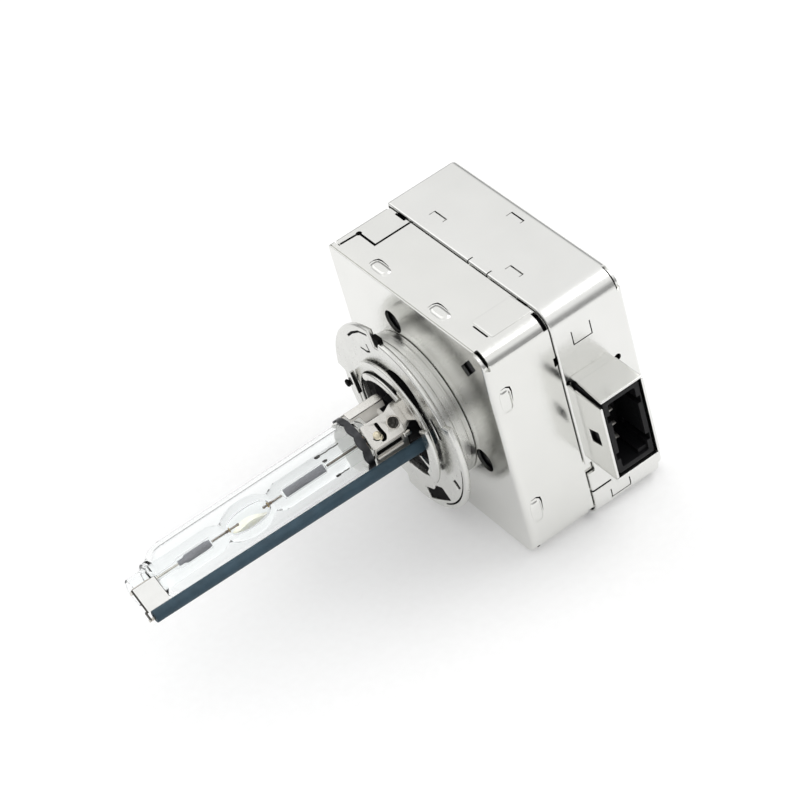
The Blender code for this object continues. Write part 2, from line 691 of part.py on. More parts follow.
# ----------------------------------------------------- inside the igniter box
def inner_housing(look, parent):
    """Moulded tray that holds the igniter parts inside both steel cups."""
    outer = box_outline(TRAY_HALF, 2.0 * MM, SMALL_RADIUS)
    inner = box_outline(TRAY_HALF - TRAY_WALL, 1.3 * MM, SMALL_RADIUS / 2)
    floor = FACE_Y + SHELL_SHEET + GAP
    rim = BACK_Y - SHELL_SHEET - GAP
    tray = open_cup("inner_housing", outer, inner, floor, rim, floor + TRAY_WALL, look, parent)
    cut(tray, circle((0.0, 0.0), NECK_R + GAP, 32), "XZ", floor - MM, floor + 2 * MM, parent)
    window = rectangle(GUARD_Y[0] + COVER_SHEET, GUARD_Y[1] - COVER_SHEET, GUARD_Z[0] + COVER_SHEET,
                       GUARD_Z[1] - COVER_SHEET)
    side = BOX_X + TRAY_HALF
    cut(tray, window, "YZ", side - 2 * MM, side + MM, parent)
    return tray


def circuit_board(look, parent):
    """Board across the box that carries every igniter part."""
    x0, x1 = BOX_X - BOARD_HALF, BOX_X + BOARD_HALF
    outline = rectangle(x0, x1, BOX_Z - BOARD_HALF, BOX_Z + BOARD_HALF)
    holes = [circle((0.0, 0.0), CONTACT_R + GAP, 16)]
    return prism("circuit_board", outline, "XZ", *BOARD_Y, look, parent, holes=holes)


def transformer_core(look, parent):
    """Ferrite rod that stands upright through the coils."""
    radius, half, soft = 3.0 * MM, 15.5 * MM, 0.4 * MM
    profile = [(-half, 0.0), (-half, radius - soft), (soft - half, radius), (half - soft, radius),
               (half, radius - soft), (half, 0.0)]
    return lathe("transformer_core", profile, 20, look, parent, centre=(COIL_X, COIL_Y, BOX_Z), axis="Z")


def transformer_bobbin(look, parent):
    """Sectioned spool: a tube with six webs, slotted where the winding crosses over."""
    inner, tube, web_r = 3.3 * MM, 4.1 * MM, 6.2 * MM
    profile = []
    for k in range(6):
        low = (k - 2.5) * COIL_PITCH - WEB / 2
        profile += [(low, tube), (low, web_r), (low + WEB, web_r), (low + WEB, tube)]
    profile = [(profile[0][0], inner)] + profile[1:-1] + [(profile[-1][0], inner)]
    centre = (COIL_X, COIL_Y, BOX_Z)
    spool = lathe("transformer_bobbin", profile, 20, look, parent, centre=centre, axis="Z")
    reach = 2.2 * COIL_PITCH
    half_slot = 0.9 * MM
    slot = rectangle(COIL_X - half_slot, COIL_X + half_slot, COIL_Y + tube + 0.1 * MM, COIL_Y + web_r + MM)
    cut(spool, slot, "XY", BOX_Z - reach, BOX_Z + reach, parent)
    return spool


def secondary_winding(look, parent):
    """Fine winding: a coil in each chamber of the spool, joined through the webs' slots."""
    inner, outer = 4.5 * MM, 5.8 * MM
    half = (COIL_PITCH - WEB) / 2 - GAP
    ends = 2 * COIL_PITCH + half
    profile = [(-ends, inner), (-ends, outer), (ends, outer), (ends, inner)]
    centre = (COIL_X, COIL_Y, BOX_Z)
    coil = lathe("secondary_winding", profile, 20, look, parent, centre=centre, axis="Z")
    hole = circle((COIL_X, COIL_Y), outer + MM, 20)
    keep = rectangle(COIL_X - 0.5 * MM, COIL_X + 0.5 * MM, COIL_Y + 4.8 * MM, COIL_Y + 5.6 * MM)
    for k in range(4):
        middle = BOX_Z + (k - 1.5) * COIL_PITCH
        low, high = middle - WEB / 2 - GAP, middle + WEB / 2 + GAP
        gap = tool_prism(hole, "XY", low, high, parent, holes=[keep])
        boolean(coil, gap, "DIFFERENCE")
    return coil


def primary_winding(look, parent):
    """Four open turns of flat copper strip round the spool."""
    turns, steps = 4, 14
    radius, pitch = 6.9 * MM, 3.0 * MM
    section = rectangle(-0.15 * MM, 0.15 * MM, -0.6 * MM, 0.6 * MM)
    path = []
    for k in range(turns * steps + 1):
        angle = 2.0 * math.pi * k / steps
        z = BOX_Z + pitch * (k / steps - turns / 2)
        path.append((COIL_X + radius * math.cos(angle), COIL_Y + radius * math.sin(angle), z))
    bm = bmesh.new()
    add_sweep(bm, path, section)
    return finish("primary_winding", bm, look, parent)


def spark_gap(look, parent):
    """Ceramic barrel of the switching spark gap."""
    inner, outer, half = 2.8 * MM, 4.0 * MM, 2.6 * MM
    profile = [(-half, inner), (-half, outer), (half, outer), (half, inner)]
    return lathe("spark_gap", profile, 20, look, parent, centre=SPARK_GAP, axis="X")


def spark_gap_cap(name, sign, look, parent):
    """Metal end cap with an inner stud that faces the other cap's stud."""
    stud, cap = 1.6 * MM, 3.7 * MM
    tip, shoulder, end = sign * 0.4 * MM, sign * 2.9 * MM, sign * 3.6 * MM
    profile = [(tip, 0.0), (tip, stud), (shoulder, stud), (shoulder, cap), (end, cap), (end, 0.0)]
    return lathe(name, profile, 20, look, parent, centre=SPARK_GAP, axis="X")


def block(name, low, high, look, parent):
    """A component body with its four long edges rounded."""
    x0, y0, z0 = low
    x1, y1, z1 = high
    soft = 0.6 * MM
    outline = []
    left, right = x0 + soft, x1 - soft
    bottom, top = z0 + soft, z1 - soft
    corners = [(right, top), (left, top), (left, bottom), (right, bottom)]
    for quarter, centre in enumerate(corners):
        outline += arc(centre, soft, 90.0 * quarter, 90.0 * (quarter + 1), 3)
    return prism(name, outline, "XZ", y0, y1, look, parent)


def ignition_capacitor(look, parent):
    """Film capacitor that feeds the primary winding."""
    low = (2.4 * MM, BOARD_Y[1] + GAP, -15.2 * MM)
    high = (16.2 * MM, 23.4 * MM, -6.8 * MM)
    return block("ignition_capacitor", low, high, look, parent)


def filter_capacitor(look, parent):
    """Smaller capacitor across the connector's supply."""
    low = (2.4 * MM, BOARD_Y[1] + GAP, -5.4 * MM)
    high = (9.4 * MM, 18.6 * MM, -1.8 * MM)
    return block("filter_capacitor", low, high, look, parent)


def charging_resistor(look, parent):
    """Resistor that charges the ignition capacitor."""
    half, body, end = 4.0 * MM, 1.6 * MM, 1.3 * MM
    neck = half - MM
    profile = [(-half, 0.0), (-half, end), (-neck, body), (neck, body), (half, end), (half, 0.0)]
    centre = (7.0 * MM, BOARD_Y[1] + GAP + body, 4.6 * MM)
    return lathe("charging_resistor", profile, 14, look, parent, centre=centre, axis="X")


def high_voltage_contact(look, parent):
    """Tube on the lamp axis that takes the rear lead and stands through the board."""
    inner = 0.6 * MM
    front, back = -2.0 * MM, 13.6 * MM
    profile = [(front, inner), (front, CONTACT_R), (back, CONTACT_R), (back, inner)]
    return lathe("high_voltage_contact", profile, 14, look, parent)


def high_voltage_strip(look, parent):
    """Strip on the board's front face from the coil's foot to the contact."""
    y = BOARD_Y[0] - GAP
    outline = rectangle(COIL_X, -(CONTACT_R + GAP), -0.8 * MM, 0.8 * MM)
    return prism("high_voltage_strip", outline, "XZ", y - GAP, y, look, parent)


def return_terminal(look, parent):
    """Welding lug on the board for the return wire."""
    half = 1.0 * MM
    outline = rectangle(ROD_X - half, ROD_X + half, ROD_Z - half, ROD_Z + half)
    hole = circle((ROD_X, ROD_Z), WIRE_R + GAP, 10)
    return prism("return_terminal", outline, "XZ", 9.8 * MM, BOARD_Y[0] - GAP, look, parent, holes=[hole])


# ------------------------------------------------------------------ assembly
def clear_scene():
    for obj in list(bpy.data.objects):
        bpy.data.objects.remove(obj)


def build():
    clear_scene()
    lamp_axes = bpy.data.objects.new("lamp_axes", None)
    bpy.context.scene.collection.objects.link(lamp_axes)
    lamp_axes.location = (0.0, -ORIGIN_Y, AXIS_HEIGHT)
    bpy.context.view_layer.update()

    steel = material("tinned_steel", STEEL, 0.18, 1.0)
    ring_steel = material("ring_steel", STEEL, 0.25, 1.0)
    band = material("dark_band", DARK_STEEL, 0.5, 0.6)
    quartz = material("quartz", QUARTZ, 0.05, 0.0, 0.35)
    ceramic = material("blue_ceramic", CERAMIC, 0.55)
    plastic = material("black_plastic", BLACK_PLASTIC, 0.5)
    tungsten = material("tungsten", TUNGSTEN, 0.4, 1.0)
    foil_metal = material("foil", FOIL, 0.45, 1.0)
    nickel = material("nickel", NICKEL, 0.3, 1.0)
    copper = material("copper", COPPER, 0.35, 1.0)
    ferrite = material("ferrite", FERRITE, 0.7)
    board = material("board", BOARD, 0.5)
    film = material("film", FILM, 0.45)
    alumina = material("alumina", ALUMINA, 0.6)

    arc_front = ARC_Y - ARC_GAP / 2
    arc_rear = ARC_Y + ARC_GAP / 2
    foil_front = (-34.5 * MM, -40.3 * MM)
    foil_rear = (-21.0 * MM, -13.4 * MM)

    front_shell(steel, lamp_axes)
    rear_cover(steel, lamp_axes)
    connector_socket(plastic, lamp_axes)
    for number in range(1, len(PIN_ROWS) + 1):
        contact_pin(number, nickel, lamp_axes)
    flange_plate(ring_steel, lamp_axes)
    base_drum(ring_steel, lamp_axes)
    mount_ring(ring_steel, lamp_axes)
    base_core(plastic, lamp_axes)
    burner_holder(ring_steel, lamp_axes)
    clamp_band(band, lamp_axes)
    outer_tube(quartz, lamp_axes)
    arc_tube(quartz, lamp_axes)
    electrode("front_electrode", arc_front, foil_front[0] + GAP, tungsten, lamp_axes)
    electrode("rear_electrode", arc_rear, foil_rear[0] - GAP, tungsten, lamp_axes)
    foil("front_foil", *foil_front, foil_metal, lamp_axes)
    foil("rear_foil", *foil_rear, foil_metal, lamp_axes)
    front_lead(nickel, lamp_axes)
    rear_lead(nickel, lamp_axes)
    return_bracket(nickel, lamp_axes)
    ceramic_rod(ceramic, lamp_axes)
    return_wire(nickel, lamp_axes)
    inner_housing(plastic, lamp_axes)
    circuit_board(board, lamp_axes)
    transformer_core(ferrite, lamp_axes)
    transformer_bobbin(plastic, lamp_axes)
    secondary_winding(copper, lamp_axes)
    primary_winding(copper, lamp_axes)
    spark_gap(alumina, lamp_axes)
    spark_gap_cap("spark_gap_cap_left", -1.0, nickel, lamp_axes)
    spark_gap_cap("spark_gap_cap_right", 1.0, nickel, lamp_axes)
    ignition_capacitor(film, lamp_axes)
    filter_capacitor(film, lamp_axes)
    charging_resistor(alumina, lamp_axes)
    high_voltage_contact(copper, lamp_axes)
    high_voltage_strip(copper, lamp_axes)
    return_terminal(copper, lamp_axes)


build()
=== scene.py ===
"""Looks of the gas-discharge headlight bulb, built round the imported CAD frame.

Pieces are drawn in the lamp's own axes in millimetres: the origin is on the lamp
axis at the reference plane, the burner points along -Y, the connector faces +X and
+Z is up.  finish_piece() carries each of them into the frame, in metres.
"""
from math import copysign, cos, pi, radians, sin, sqrt, tan

import bmesh
import bpy
from mathutils import Matrix, Vector
from mathutils.geometry import tessellate_polygon


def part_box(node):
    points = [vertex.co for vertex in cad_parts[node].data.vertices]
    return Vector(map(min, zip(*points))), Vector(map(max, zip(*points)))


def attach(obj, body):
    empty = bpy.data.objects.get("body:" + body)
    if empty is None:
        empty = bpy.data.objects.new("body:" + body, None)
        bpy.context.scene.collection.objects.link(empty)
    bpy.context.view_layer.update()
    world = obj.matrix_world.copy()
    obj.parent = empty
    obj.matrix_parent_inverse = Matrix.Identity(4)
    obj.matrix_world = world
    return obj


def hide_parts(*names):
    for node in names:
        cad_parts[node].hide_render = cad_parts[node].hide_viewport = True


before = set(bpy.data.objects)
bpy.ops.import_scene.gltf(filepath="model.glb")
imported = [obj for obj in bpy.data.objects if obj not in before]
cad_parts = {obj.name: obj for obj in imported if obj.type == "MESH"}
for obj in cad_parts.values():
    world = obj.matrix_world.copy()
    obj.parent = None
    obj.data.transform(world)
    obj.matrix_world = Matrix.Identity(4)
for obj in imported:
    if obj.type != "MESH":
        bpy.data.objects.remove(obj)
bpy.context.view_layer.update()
MM = 0.001

# ---- sizes from the frame
FLANGE_FRONT = 1  # the flange's front face lies this far behind the reference plane
tube_low, tube_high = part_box("outer_tube")
ORIGIN = Vector(((tube_low.x + tube_high.x) / 2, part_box("flange_plate")[0].y - FLANGE_FRONT * MM,
                 (tube_low.z + tube_high.z) / 2))


def lamp_box(node):
    """Corners of a CAD node in the lamp's axes, in millimetres."""
    low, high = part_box(node)
    return (low - ORIGIN) / MM, (high - ORIGIN) / MM


SHELL_LOW, SHELL_HIGH = lamp_box("front_shell")
COVER_LOW, COVER_HIGH = lamp_box("rear_cover")
TUBE_LOW, TUBE_HIGH = lamp_box("outer_tube")
VESSEL_LOW, VESSEL_HIGH = lamp_box("arc_tube")
ROD_LOW, ROD_HIGH = lamp_box("ceramic_rod")

FACE_Y, COLLAR_END = SHELL_LOW.y, SHELL_HIGH.y
SEAM_Y, BACK_Y = COVER_LOW.y, COVER_HIGH.y
STEP = 0.45  # the cover stands out from the shell by this much
COVER_HALF = (COVER_HIGH.z - COVER_LOW.z) / 2
SHELL_HALF = COVER_HALF - STEP
BOX_X, BOX_Z = COVER_LOW.x + COVER_HALF, (COVER_HIGH.z + COVER_LOW.z) / 2
SHELL_SHEET, COVER_SHEET = 0.5, 0.4
GAP = 0.3
CORNER_R, SMALL_R = 3, 0.6
FACE_HOLE_R = 9
FACE_HOLES = ((-3.2, 14.3), (14.1, -3.7))
MOUTH_X = COVER_HIGH.x
GUARD_Y, GUARD_Z = (18.4, 26.6), (-6.9, 8.9)
TUBE_R = (TUBE_HIGH.x - TUBE_LOW.x) / 2
LEG_R = 2.3
TAIL_Y = VESSEL_LOW.y
ROD_X, ROD_Z = (ROD_LOW.x + ROD_HIGH.x) / 2, (ROD_LOW.z + ROD_HIGH.z) / 2
ROD_R = (ROD_HIGH.x - ROD_LOW.x) / 2
DRUM_R = lamp_box("base_drum")[1].x
ALONG = Vector((0, 1, 0))


# ---- node shaders
def feed(tree, socket, value):
    """Link a socket to another node's output, or set it to a constant."""
    if isinstance(value, bpy.types.NodeSocket):
        tree.links.new(value, socket)
    else:
        socket.default_value = value


def add_node(tree, kind, **inputs):
    made = tree.nodes.new("ShaderNode" + kind)
    for socket, value in inputs.items():
        feed(tree, made.inputs[socket], value)
    return made


def maths(tree, kind, operation, *values):
    made = tree.nodes.new("ShaderNode" + kind)
    made.operation = operation
    for socket, value in zip(made.inputs, values):
        feed(tree, socket, value)
    return made.outputs["Value"]


def noise(tree, vector, scale, detail=3, roughness=0.5):
    made = add_node(tree, "TexNoise", Vector=vector, Scale=scale, Detail=detail, Roughness=roughness)
    return made.outputs["Fac"]


def ramp(tree, fac, *stops):
    """Colour ramp from (position, colour) stops; a grey is one number."""
    made = add_node(tree, "ValToRGB", Fac=fac)
    while len(made.color_ramp.elements) < len(stops):
        made.color_ramp.elements.new(0.5)
    for element, (position, colour) in zip(made.color_ramp.elements, stops):
        element.position = position
        element.color = (*colour, 1) if isinstance(colour, tuple) else (colour, colour, colour, 1)
    return made.outputs["Color"]


def tint(tree, fac, colour, dark, light):
    """The colour between a darker and a lighter shade of itself."""
    darker, lighter = [tuple(min(1, value * factor) for value in colour) for factor in (dark, light)]
    return ramp(tree, fac, (0.3, darker), (0.7, lighter))


def around(tree, fac, middle, spread, edge=0.3):
    return ramp(tree, fac, (edge, middle - spread), (1 - edge, middle + spread))


def new_look(name, stretch=(1, 1, 1), shift=(0, 0, 0)):
    """A new material, its node tree and its object coordinates in metres."""
    made = bpy.data.materials.new(name)
    made.use_nodes = True
    tree = made.node_tree
    coords = add_node(tree, "TexCoord").outputs["Object"]
    mapping = add_node(tree, "Mapping", Vector=coords, Scale=stretch, Location=shift)
    return made, tree, mapping.outputs["Vector"]


def surface(tree, height=None, depth=0, **inputs):
    """Feed the shader's inputs, named with _ for a space, and a bump of that depth in millimetres."""
    shader = tree.nodes["Principled BSDF"]
    for socket, value in inputs.items():
        feed(tree, shader.inputs[socket.replace("_", " ")], value)
    if height:
        relief = add_node(tree, "Bump", Height=height, Distance=depth * MM, Strength=1)
        feed(tree, shader.inputs["Normal"], relief.outputs["Normal"])
    return shader


def metal(name, colour, rough, spread, variation, fine, coarse, depth, grain=1):
    """Sheet metal: faint colour clouds, rolled grain in the gloss and a fine bump."""
    made, tree, vector = new_look(name, (1, grain, 1))
    clouds = noise(tree, vector, coarse, 4)
    fibres = noise(tree, vector, fine, 3, 0.6)
    surface(tree, fibres, depth, Metallic=1, Roughness=around(tree, fibres, rough, spread, 0.25),
            Base_Color=tint(tree, clouds, colour, 1 - variation, 1 + variation))
    return made


def moulded(name, colour, rough, fine, depth, variation, specular=0.5):
    """Moulded plastic or fired ceramic: a fine pebbled surface with faint colour clouds."""
    made, tree, vector = new_look(name)
    clouds = noise(tree, vector, 500)
    pebbles = noise(tree, vector, fine, 2)
    surface(tree, pebbles, depth, Specular_IOR_Level=specular, Roughness=around(tree, pebbles, rough, 0.06),
            Base_Color=tint(tree, clouds, colour, 1 - variation, 1 + variation))
    return made


def quartz_glass(name, index, rough, depth):
    """Clear fused quartz with the faint draw lines of its making; light passes it without a shadow."""
    made, tree, vector = new_look(name, (1, 0.06, 1))
    lines = noise(tree, vector, 900, 2)
    shader = surface(tree, lines, depth, Base_Color=(0.985, 0.995, 0.995, 1), Transmission_Weight=1,
                     IOR=index, Roughness=ramp(tree, lines, (0.3, 0), (0.8, rough)))
    either = add_node(tree, "MixShader", Fac=add_node(tree, "LightPath").outputs["Is Shadow Ray"])
    feed(tree, either.inputs[1], shader.outputs["BSDF"])
    feed(tree, either.inputs[2], add_node(tree, "BsdfTransparent").outputs["BSDF"])
    feed(tree, tree.nodes["Material Output"].inputs["Surface"], either.outputs["Shader"])
    return made


def turned_metal(name, colour, rough):
    """Metal brushed round the lamp's axis: the grain runs along circles round Y."""
    made, tree, vector = new_look(name, shift=-ORIGIN)
    parts = add_node(tree, "SeparateXYZ", Vector=vector).outputs
    turn = maths(tree, "Math", "ARCTAN2", parts["Z"], parts["X"])
    circles = add_node(tree, "CombineXYZ", X=maths(tree, "VectorMath", "LENGTH", vector), Y=parts["Y"],
                       Z=maths(tree, "Math", "MULTIPLY", turn, 0.0009)).outputs["Vector"]
    streaks = noise(tree, circles, 3800, 4, 0.7)
    clouds = noise(tree, vector, 420)
    surface(tree, streaks, 0.03, Metallic=1, Base_Color=tint(tree, streaks, colour, 0.86, 1.12),
            Roughness=around(tree, clouds, rough, 0.07))
    return made


def painted_glow_cement(name):
    """White cement seen through the glass, with a painted glow (an emission) standing in for the light that
    reaches it down the tube.
    """
    made = moulded(name, (0.84, 0.83, 0.8), 0.6, 2500, 0.02, 0.04)
    # painted glow: an emission in place of light reaching the cement through the tube
    surface(made.node_tree, Emission_Color=(1, 1, 0.98, 1), Emission_Strength=0.3)
    return made


def salt_crust(name):
    """Metal-salt condensate: cream to ochre patches."""
    made, tree, vector = new_look(name)
    patches = noise(tree, vector, 1400, 5, 0.6)
    cream_to_ochre = (0.35, (0.95, 0.94, 0.87)), (0.6, (0.93, 0.9, 0.76)), (0.8, (0.8, 0.71, 0.45))
    surface(tree, patches, 0.06, Base_Color=ramp(tree, patches, *cream_to_ochre), Roughness=0.7)
    return made


def copper_winding(name):
    """Enamelled wire laid in close turns round Z."""
    made, tree, vector = new_look(name)
    wave = add_node(tree, "TexWave", Vector=vector, Scale=900, Distortion=0.4)
    wave.bands_direction = "Z"
    turns = wave.outputs["Fac"]
    surface(tree, turns, 0.1, Metallic=0.85, Roughness=0.35,
            Base_Color=ramp(tree, turns, (0.1, (0.3, 0.1, 0.03)), (0.6, (0.72, 0.33, 0.14))))
    return made


# colour, roughness and its spread, colour variation, fine and coarse noise, bump depth, grain along Y
METALS = {
    "tinned_steel": ((0.79, 0.79, 0.765), 0.19, 0.05, 0.02, 1800, 120, 0.004),
    "cover_steel": ((0.8, 0.8, 0.78), 0.22, 0.05, 0.02, 1800, 120, 0.004),
    "ring_steel": ((0.7, 0.7, 0.675), 0.25, 0.05, 0.04, 1300, 300, 0.006, 0.3),
    "leaf_steel": ((0.74, 0.725, 0.69), 0.25, 0.05, 0.05, 1500, 400, 0.006),
    "satin_steel": ((0.62, 0.6, 0.56), 0.45, 0.06, 0.06, 1500, 400, 0.006),
    "dark_band": ((0.065, 0.066, 0.07), 0.4, 0.1, 0.3, 2200, 700, 0.02),
    "nickel": ((0.66, 0.63, 0.58), 0.24, 0.08, 0.06, 2600, 500, 0.01),
    "bright_strip": ((0.84, 0.84, 0.82), 0.2, 0.05, 0.03, 2600, 500, 0.01),
    # the pins' nickel is painted dark: painted shade of the deep socket well
    "pin": ((0.3, 0.29, 0.27), 0.35, 0.08, 0.06, 2600, 500, 0.01),
    "burnt_weld": ((0.07, 0.066, 0.06), 0.45, 0.15, 0.5, 2600, 1900, 0.12),
    "nugget": ((0.74, 0.68, 0.52), 0.3, 0.1, 0.15, 2600, 1200, 0.05),
    "tungsten": ((0.24, 0.21, 0.18), 0.38, 0.1, 0.2, 4000, 1500, 0.01, 0.3),
    "foil": ((0.2, 0.2, 0.215), 0.42, 0.08, 0.15, 3000, 900, 0.01, 0.3),
    "copper": ((0.72, 0.38, 0.2), 0.3, 0.08, 0.1, 2500, 400, 0.01),
}
# colour, roughness, pebble noise, bump depth, colour variation, specular level
MOULDED = {
    "blue_ceramic": ((0.037, 0.068, 0.092), 0.55, 3200, 0.02, 0.16, 0.25),
    "black_plastic": ((0.007, 0.007, 0.008), 0.48, 3000, 0.01, 0.2, 0.22),
    # near-black look for pieces that paint shade into slots, gaps and recesses
    "painted_shade_black": ((0.004, 0.004, 0.004), 0.7, 3000, 0.01, 0.2, 0.06),
    "alumina": ((0.78, 0.76, 0.71), 0.55, 2500, 0.02, 0.05),
    "ferrite": ((0.06, 0.06, 0.065), 0.65, 2500, 0.03, 0.2),
    "board": ((0.03, 0.17, 0.08), 0.42, 2500, 0.01, 0.1),
    "film": ((0.58, 0.38, 0.07), 0.3, 1500, 0.01, 0.08),
    "deposit": ((0.1, 0.06, 0.03), 0.6, 4000, 0.03, 0.5),
    "amber_deposit": ((0.42, 0.3, 0.12), 0.6, 4000, 0.03, 0.4),
}
LOOKS = {key: metal(key + "_look", *values) for key, values in METALS.items()}
LOOKS.update({key: moulded(key + "_look", *values) for key, values in MOULDED.items()})
LOOKS.update({
    "drum_steel": turned_metal("drum_steel_look", (0.66, 0.66, 0.635), 0.3),
    "winding": copper_winding("winding_look"),
    "quartz": quartz_glass("quartz_look", 1.32, 0.02, 0.004),
    "inner_quartz": quartz_glass("inner_quartz_look", 1.14, 0.05, 0.01),
    "cement": painted_glow_cement("painted_glow_cement_look"),
    "salt": salt_crust("salt_look"),
})


# ---- mesh tools
def finish_piece(mesh, name, look, material_slot, *replaced):
    """Put a mesh drawn in lamp millimetres into the frame as a piece of the object."""
    mesh.transform(Matrix.Translation(ORIGIN) @ Matrix.Scale(MM, 4))
    piece = new_object(name, mesh)
    mesh.materials.clear()
    mesh.materials.append(LOOKS[look])
    mesh.shade_smooth()
    mesh.set_sharp_from_angle(angle=radians(35))
    weighted = piece.modifiers.new("flat_faces", "WEIGHTED_NORMAL")
    weighted.keep_sharp = True
    weighted.weight = 90
    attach(piece, "root")
    if replaced:
        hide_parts(*replaced)


def new_object(name, data):
    made = bpy.data.objects.new(name, data)
    bpy.context.scene.collection.objects.link(made)
    return made


def mesh_of(name, shapes):
    """One mesh from shapes that wait for a bmesh to draw on."""
    bm = bmesh.new()
    for draw in shapes:
        draw(bm)
    bmesh.ops.recalc_face_normals(bm, faces=bm.faces[:])
    mesh = bpy.data.meshes.new(name)
    bm.to_mesh(mesh)
    bm.free()
    return mesh


def make(name, look, slot, shapes, *replaced):
    finish_piece(mesh_of(name, shapes), name, look, slot, *replaced)


def shape(add):
    """Let a function that draws on a bmesh be called ahead, without the bmesh."""
    def ahead(*args, **named):
        return lambda bm: add(bm, *args, **named)
    return ahead


def place(u, v, w, plane="XZ"):
    """A point of a drawing plane (u, v) at depth w, in lamp axes."""
    return Vector({"XZ": (u, w, v), "YZ": (w, u, v), "XY": (u, v, w)}[plane])


def polar(radius, angle, y):
    """A point at a radius and an angle round the lamp's axis."""
    return Vector((radius * cos(angle), y, radius * sin(angle)))


def offset_loop(points, distance):
    """Move an anticlockwise loop outwards by a small distance, with mitred corners."""
    moved = []
    for i, here in enumerate(points):
        (a, b), (u, v), (c, d) = points[i - 1], here, points[(i + 1) % len(points)]
        lead, follow = Vector((v - b, a - u)).normalized(), Vector((d - v, u - c)).normalized()
        mitre = (lead + follow) * distance / max(0.35, 0.5 * (lead + follow).length_squared)
        moved.append((u + mitre.x, v + mitre.y))
    return moved


def anticlockwise(points):
    area = sum(a[0] * b[1] - b[0] * a[1] for a, b in zip(points, points[1:] + points[:1]))
    return list(points) if area > 0 else list(points)[::-1]


def stack(bm, rings, closed=False):
    """Join each ring of vertices to the next; a ring of one vertex is a tip."""
    for ring, following in zip(rings, rings[1:] + (rings[:1] if closed else [])):
        count = max(len(ring), len(following))
        for k in range(count if count > 1 else 0):
            m = (k + 1) % count
            if len(ring) == 1:
                bm.faces.new((ring[0], following[m], following[k]))
            elif len(following) == 1:
                bm.faces.new((ring[k], ring[m], following[0]))
            else:
                bm.faces.new((ring[k], ring[m], following[m], following[k]))


def fill(bm, outlines, verts):
    """Flat cap over an outline with holes, its vertices given in the same order."""
    for corners in tessellate_polygon([[Vector((u, v, 0)) for u, v in loop] for loop in outlines]):
        bm.faces.new([verts[i] for i in corners])


@shape
def plate(bm, outline, low, high, edge=0.08, holes=(), plane="XZ", put=None):
    """A plate with softly rounded rims, drawn on a plane or through put(u, v, w)."""
    put = put or (lambda u, v, w: place(u, v, w, plane))
    loops = [anticlockwise(loop) for loop in (outline, *holes)]
    edge = min(edge, (high - low) * 0.45)
    hole_share = min(1, 0.06 / edge) if edge else 1
    levels = []
    for angle in (0, pi / 6, pi / 3, pi / 2):
        levels.append((edge * (1 - sin(angle)), low + edge * (1 - cos(angle))))
    levels += [(inset, low + high - w) for inset, w in levels[::-1]]

    def shrink(inset):
        return [offset_loop(loop, inset * hole_share if k else -inset) for k, loop in enumerate(loops)]

    rings = [[[bm.verts.new(put(u, v, w)) for u, v in loop] for loop in shrink(inset)]
             for inset, w in levels]
    for k in range(len(loops)):
        stack(bm, [level[k] for level in rings])
    for level in (rings[0], rings[-1]):
        fill(bm, shrink(edge), [vert for ring in level for vert in ring])


@shape
def lathe(bm, profile, segments=96, centre=(0, 0, 0)):
    """Turn a closed profile of (along, radius) points around the lamp's axis, or one beside it."""
    rings = []
    for along, radius in profile:
        spots = circle(radius, steps=segments) if radius > 1e-6 else [(0, 0)]
        rings.append([bm.verts.new(Vector(centre) + place(u, v, along)) for u, v in spots])
    stack(bm, rings, True)


@shape
def sweep(bm, path, section, up=Vector((0, 0, 1))):
    """Carry a closed section of (side, up) points along a path."""
    points = [Vector(p) for p in path]
    rings = []
    for i, point in enumerate(points):
        before = point - points[max(i - 1, 0)]
        after = points[min(i + 1, len(points) - 1)] - point
        along = (before.normalized() + after.normalized()).normalized()
        side = up.cross(along).normalized()
        rise = along.cross(side).normalized()
        rings.append([bm.verts.new(point + side * s + rise * r) for s, r in section])
    stack(bm, rings)
    bm.faces.new(rings[0][::-1])
    bm.faces.new(rings[-1])


@shape
def slab(bm, rows, columns, spots):
    """A closed skin: spots(t, s) gives its two faces' points, t along 0..1 and s across -1..1."""
    grid = [[[bm.verts.new(spot) for spot in spots(j / rows, 2 * i / columns - 1)]
             for i in range(columns + 1)] for j in range(rows + 1)]
    for side in (0, 1):
        for line, following in zip(grid, grid[1:]):
            for i in range(columns):
                bm.faces.new([pair[side] for pair in (line[i], line[i + 1], following[i + 1], following[i])])
    rim = grid[0][:-1] + [line[-1] for line in grid[:-1]]
    rim += grid[-1][:0:-1] + [line[0] for line in grid[:0:-1]]
    for pair, following in zip(rim, rim[1:] + rim[:1]):
        bm.faces.new((pair[0], following[0], following[1], pair[1]))


def arc(radius, start, end, steps=12, centre=(0, 0)):
    turns = [radians(start + (end - start) * k / steps) for k in range(steps + 1)]
    return [(centre[0] + radius * cos(turn), centre[1] + radius * sin(turn)) for turn in turns]


def circle(radius, centre=(0, 0), steps=48):
    return arc(radius, 0, 360 * (steps - 1) / steps, steps - 1, centre)


def arc_band(inner, outer, start, end, steps=20, centre=(0, 0)):
    return arc(outer, start, end, steps, centre) + arc(inner, end, start, steps, centre)


def rectangle(u0, u1, v0, v1):
    return [(u0, v0), (u1, v0), (u1, v1), (u0, v1)]


def turned_rectangle(centre, length, width, degrees):
    c, s = cos(radians(degrees)), sin(radians(degrees))
    return [(centre[0] + u * c - v * s, centre[1] + u * s + v * c)
            for u, v in rectangle(-length / 2, length / 2, -width / 2, width / 2)]


def ribbon(path, width):
    """Outline of a line of points given a width."""
    left, right = [], []
    for i, (u, v) in enumerate(path):
        before, after = Vector(path[max(i - 1, 0)]), Vector(path[min(i + 1, len(path) - 1)])
        along = (after - before).normalized() * width / 2
        left.append((u - along.y, v + along.x))
        right.append((u + along.y, v - along.x))
    return left + right[::-1]


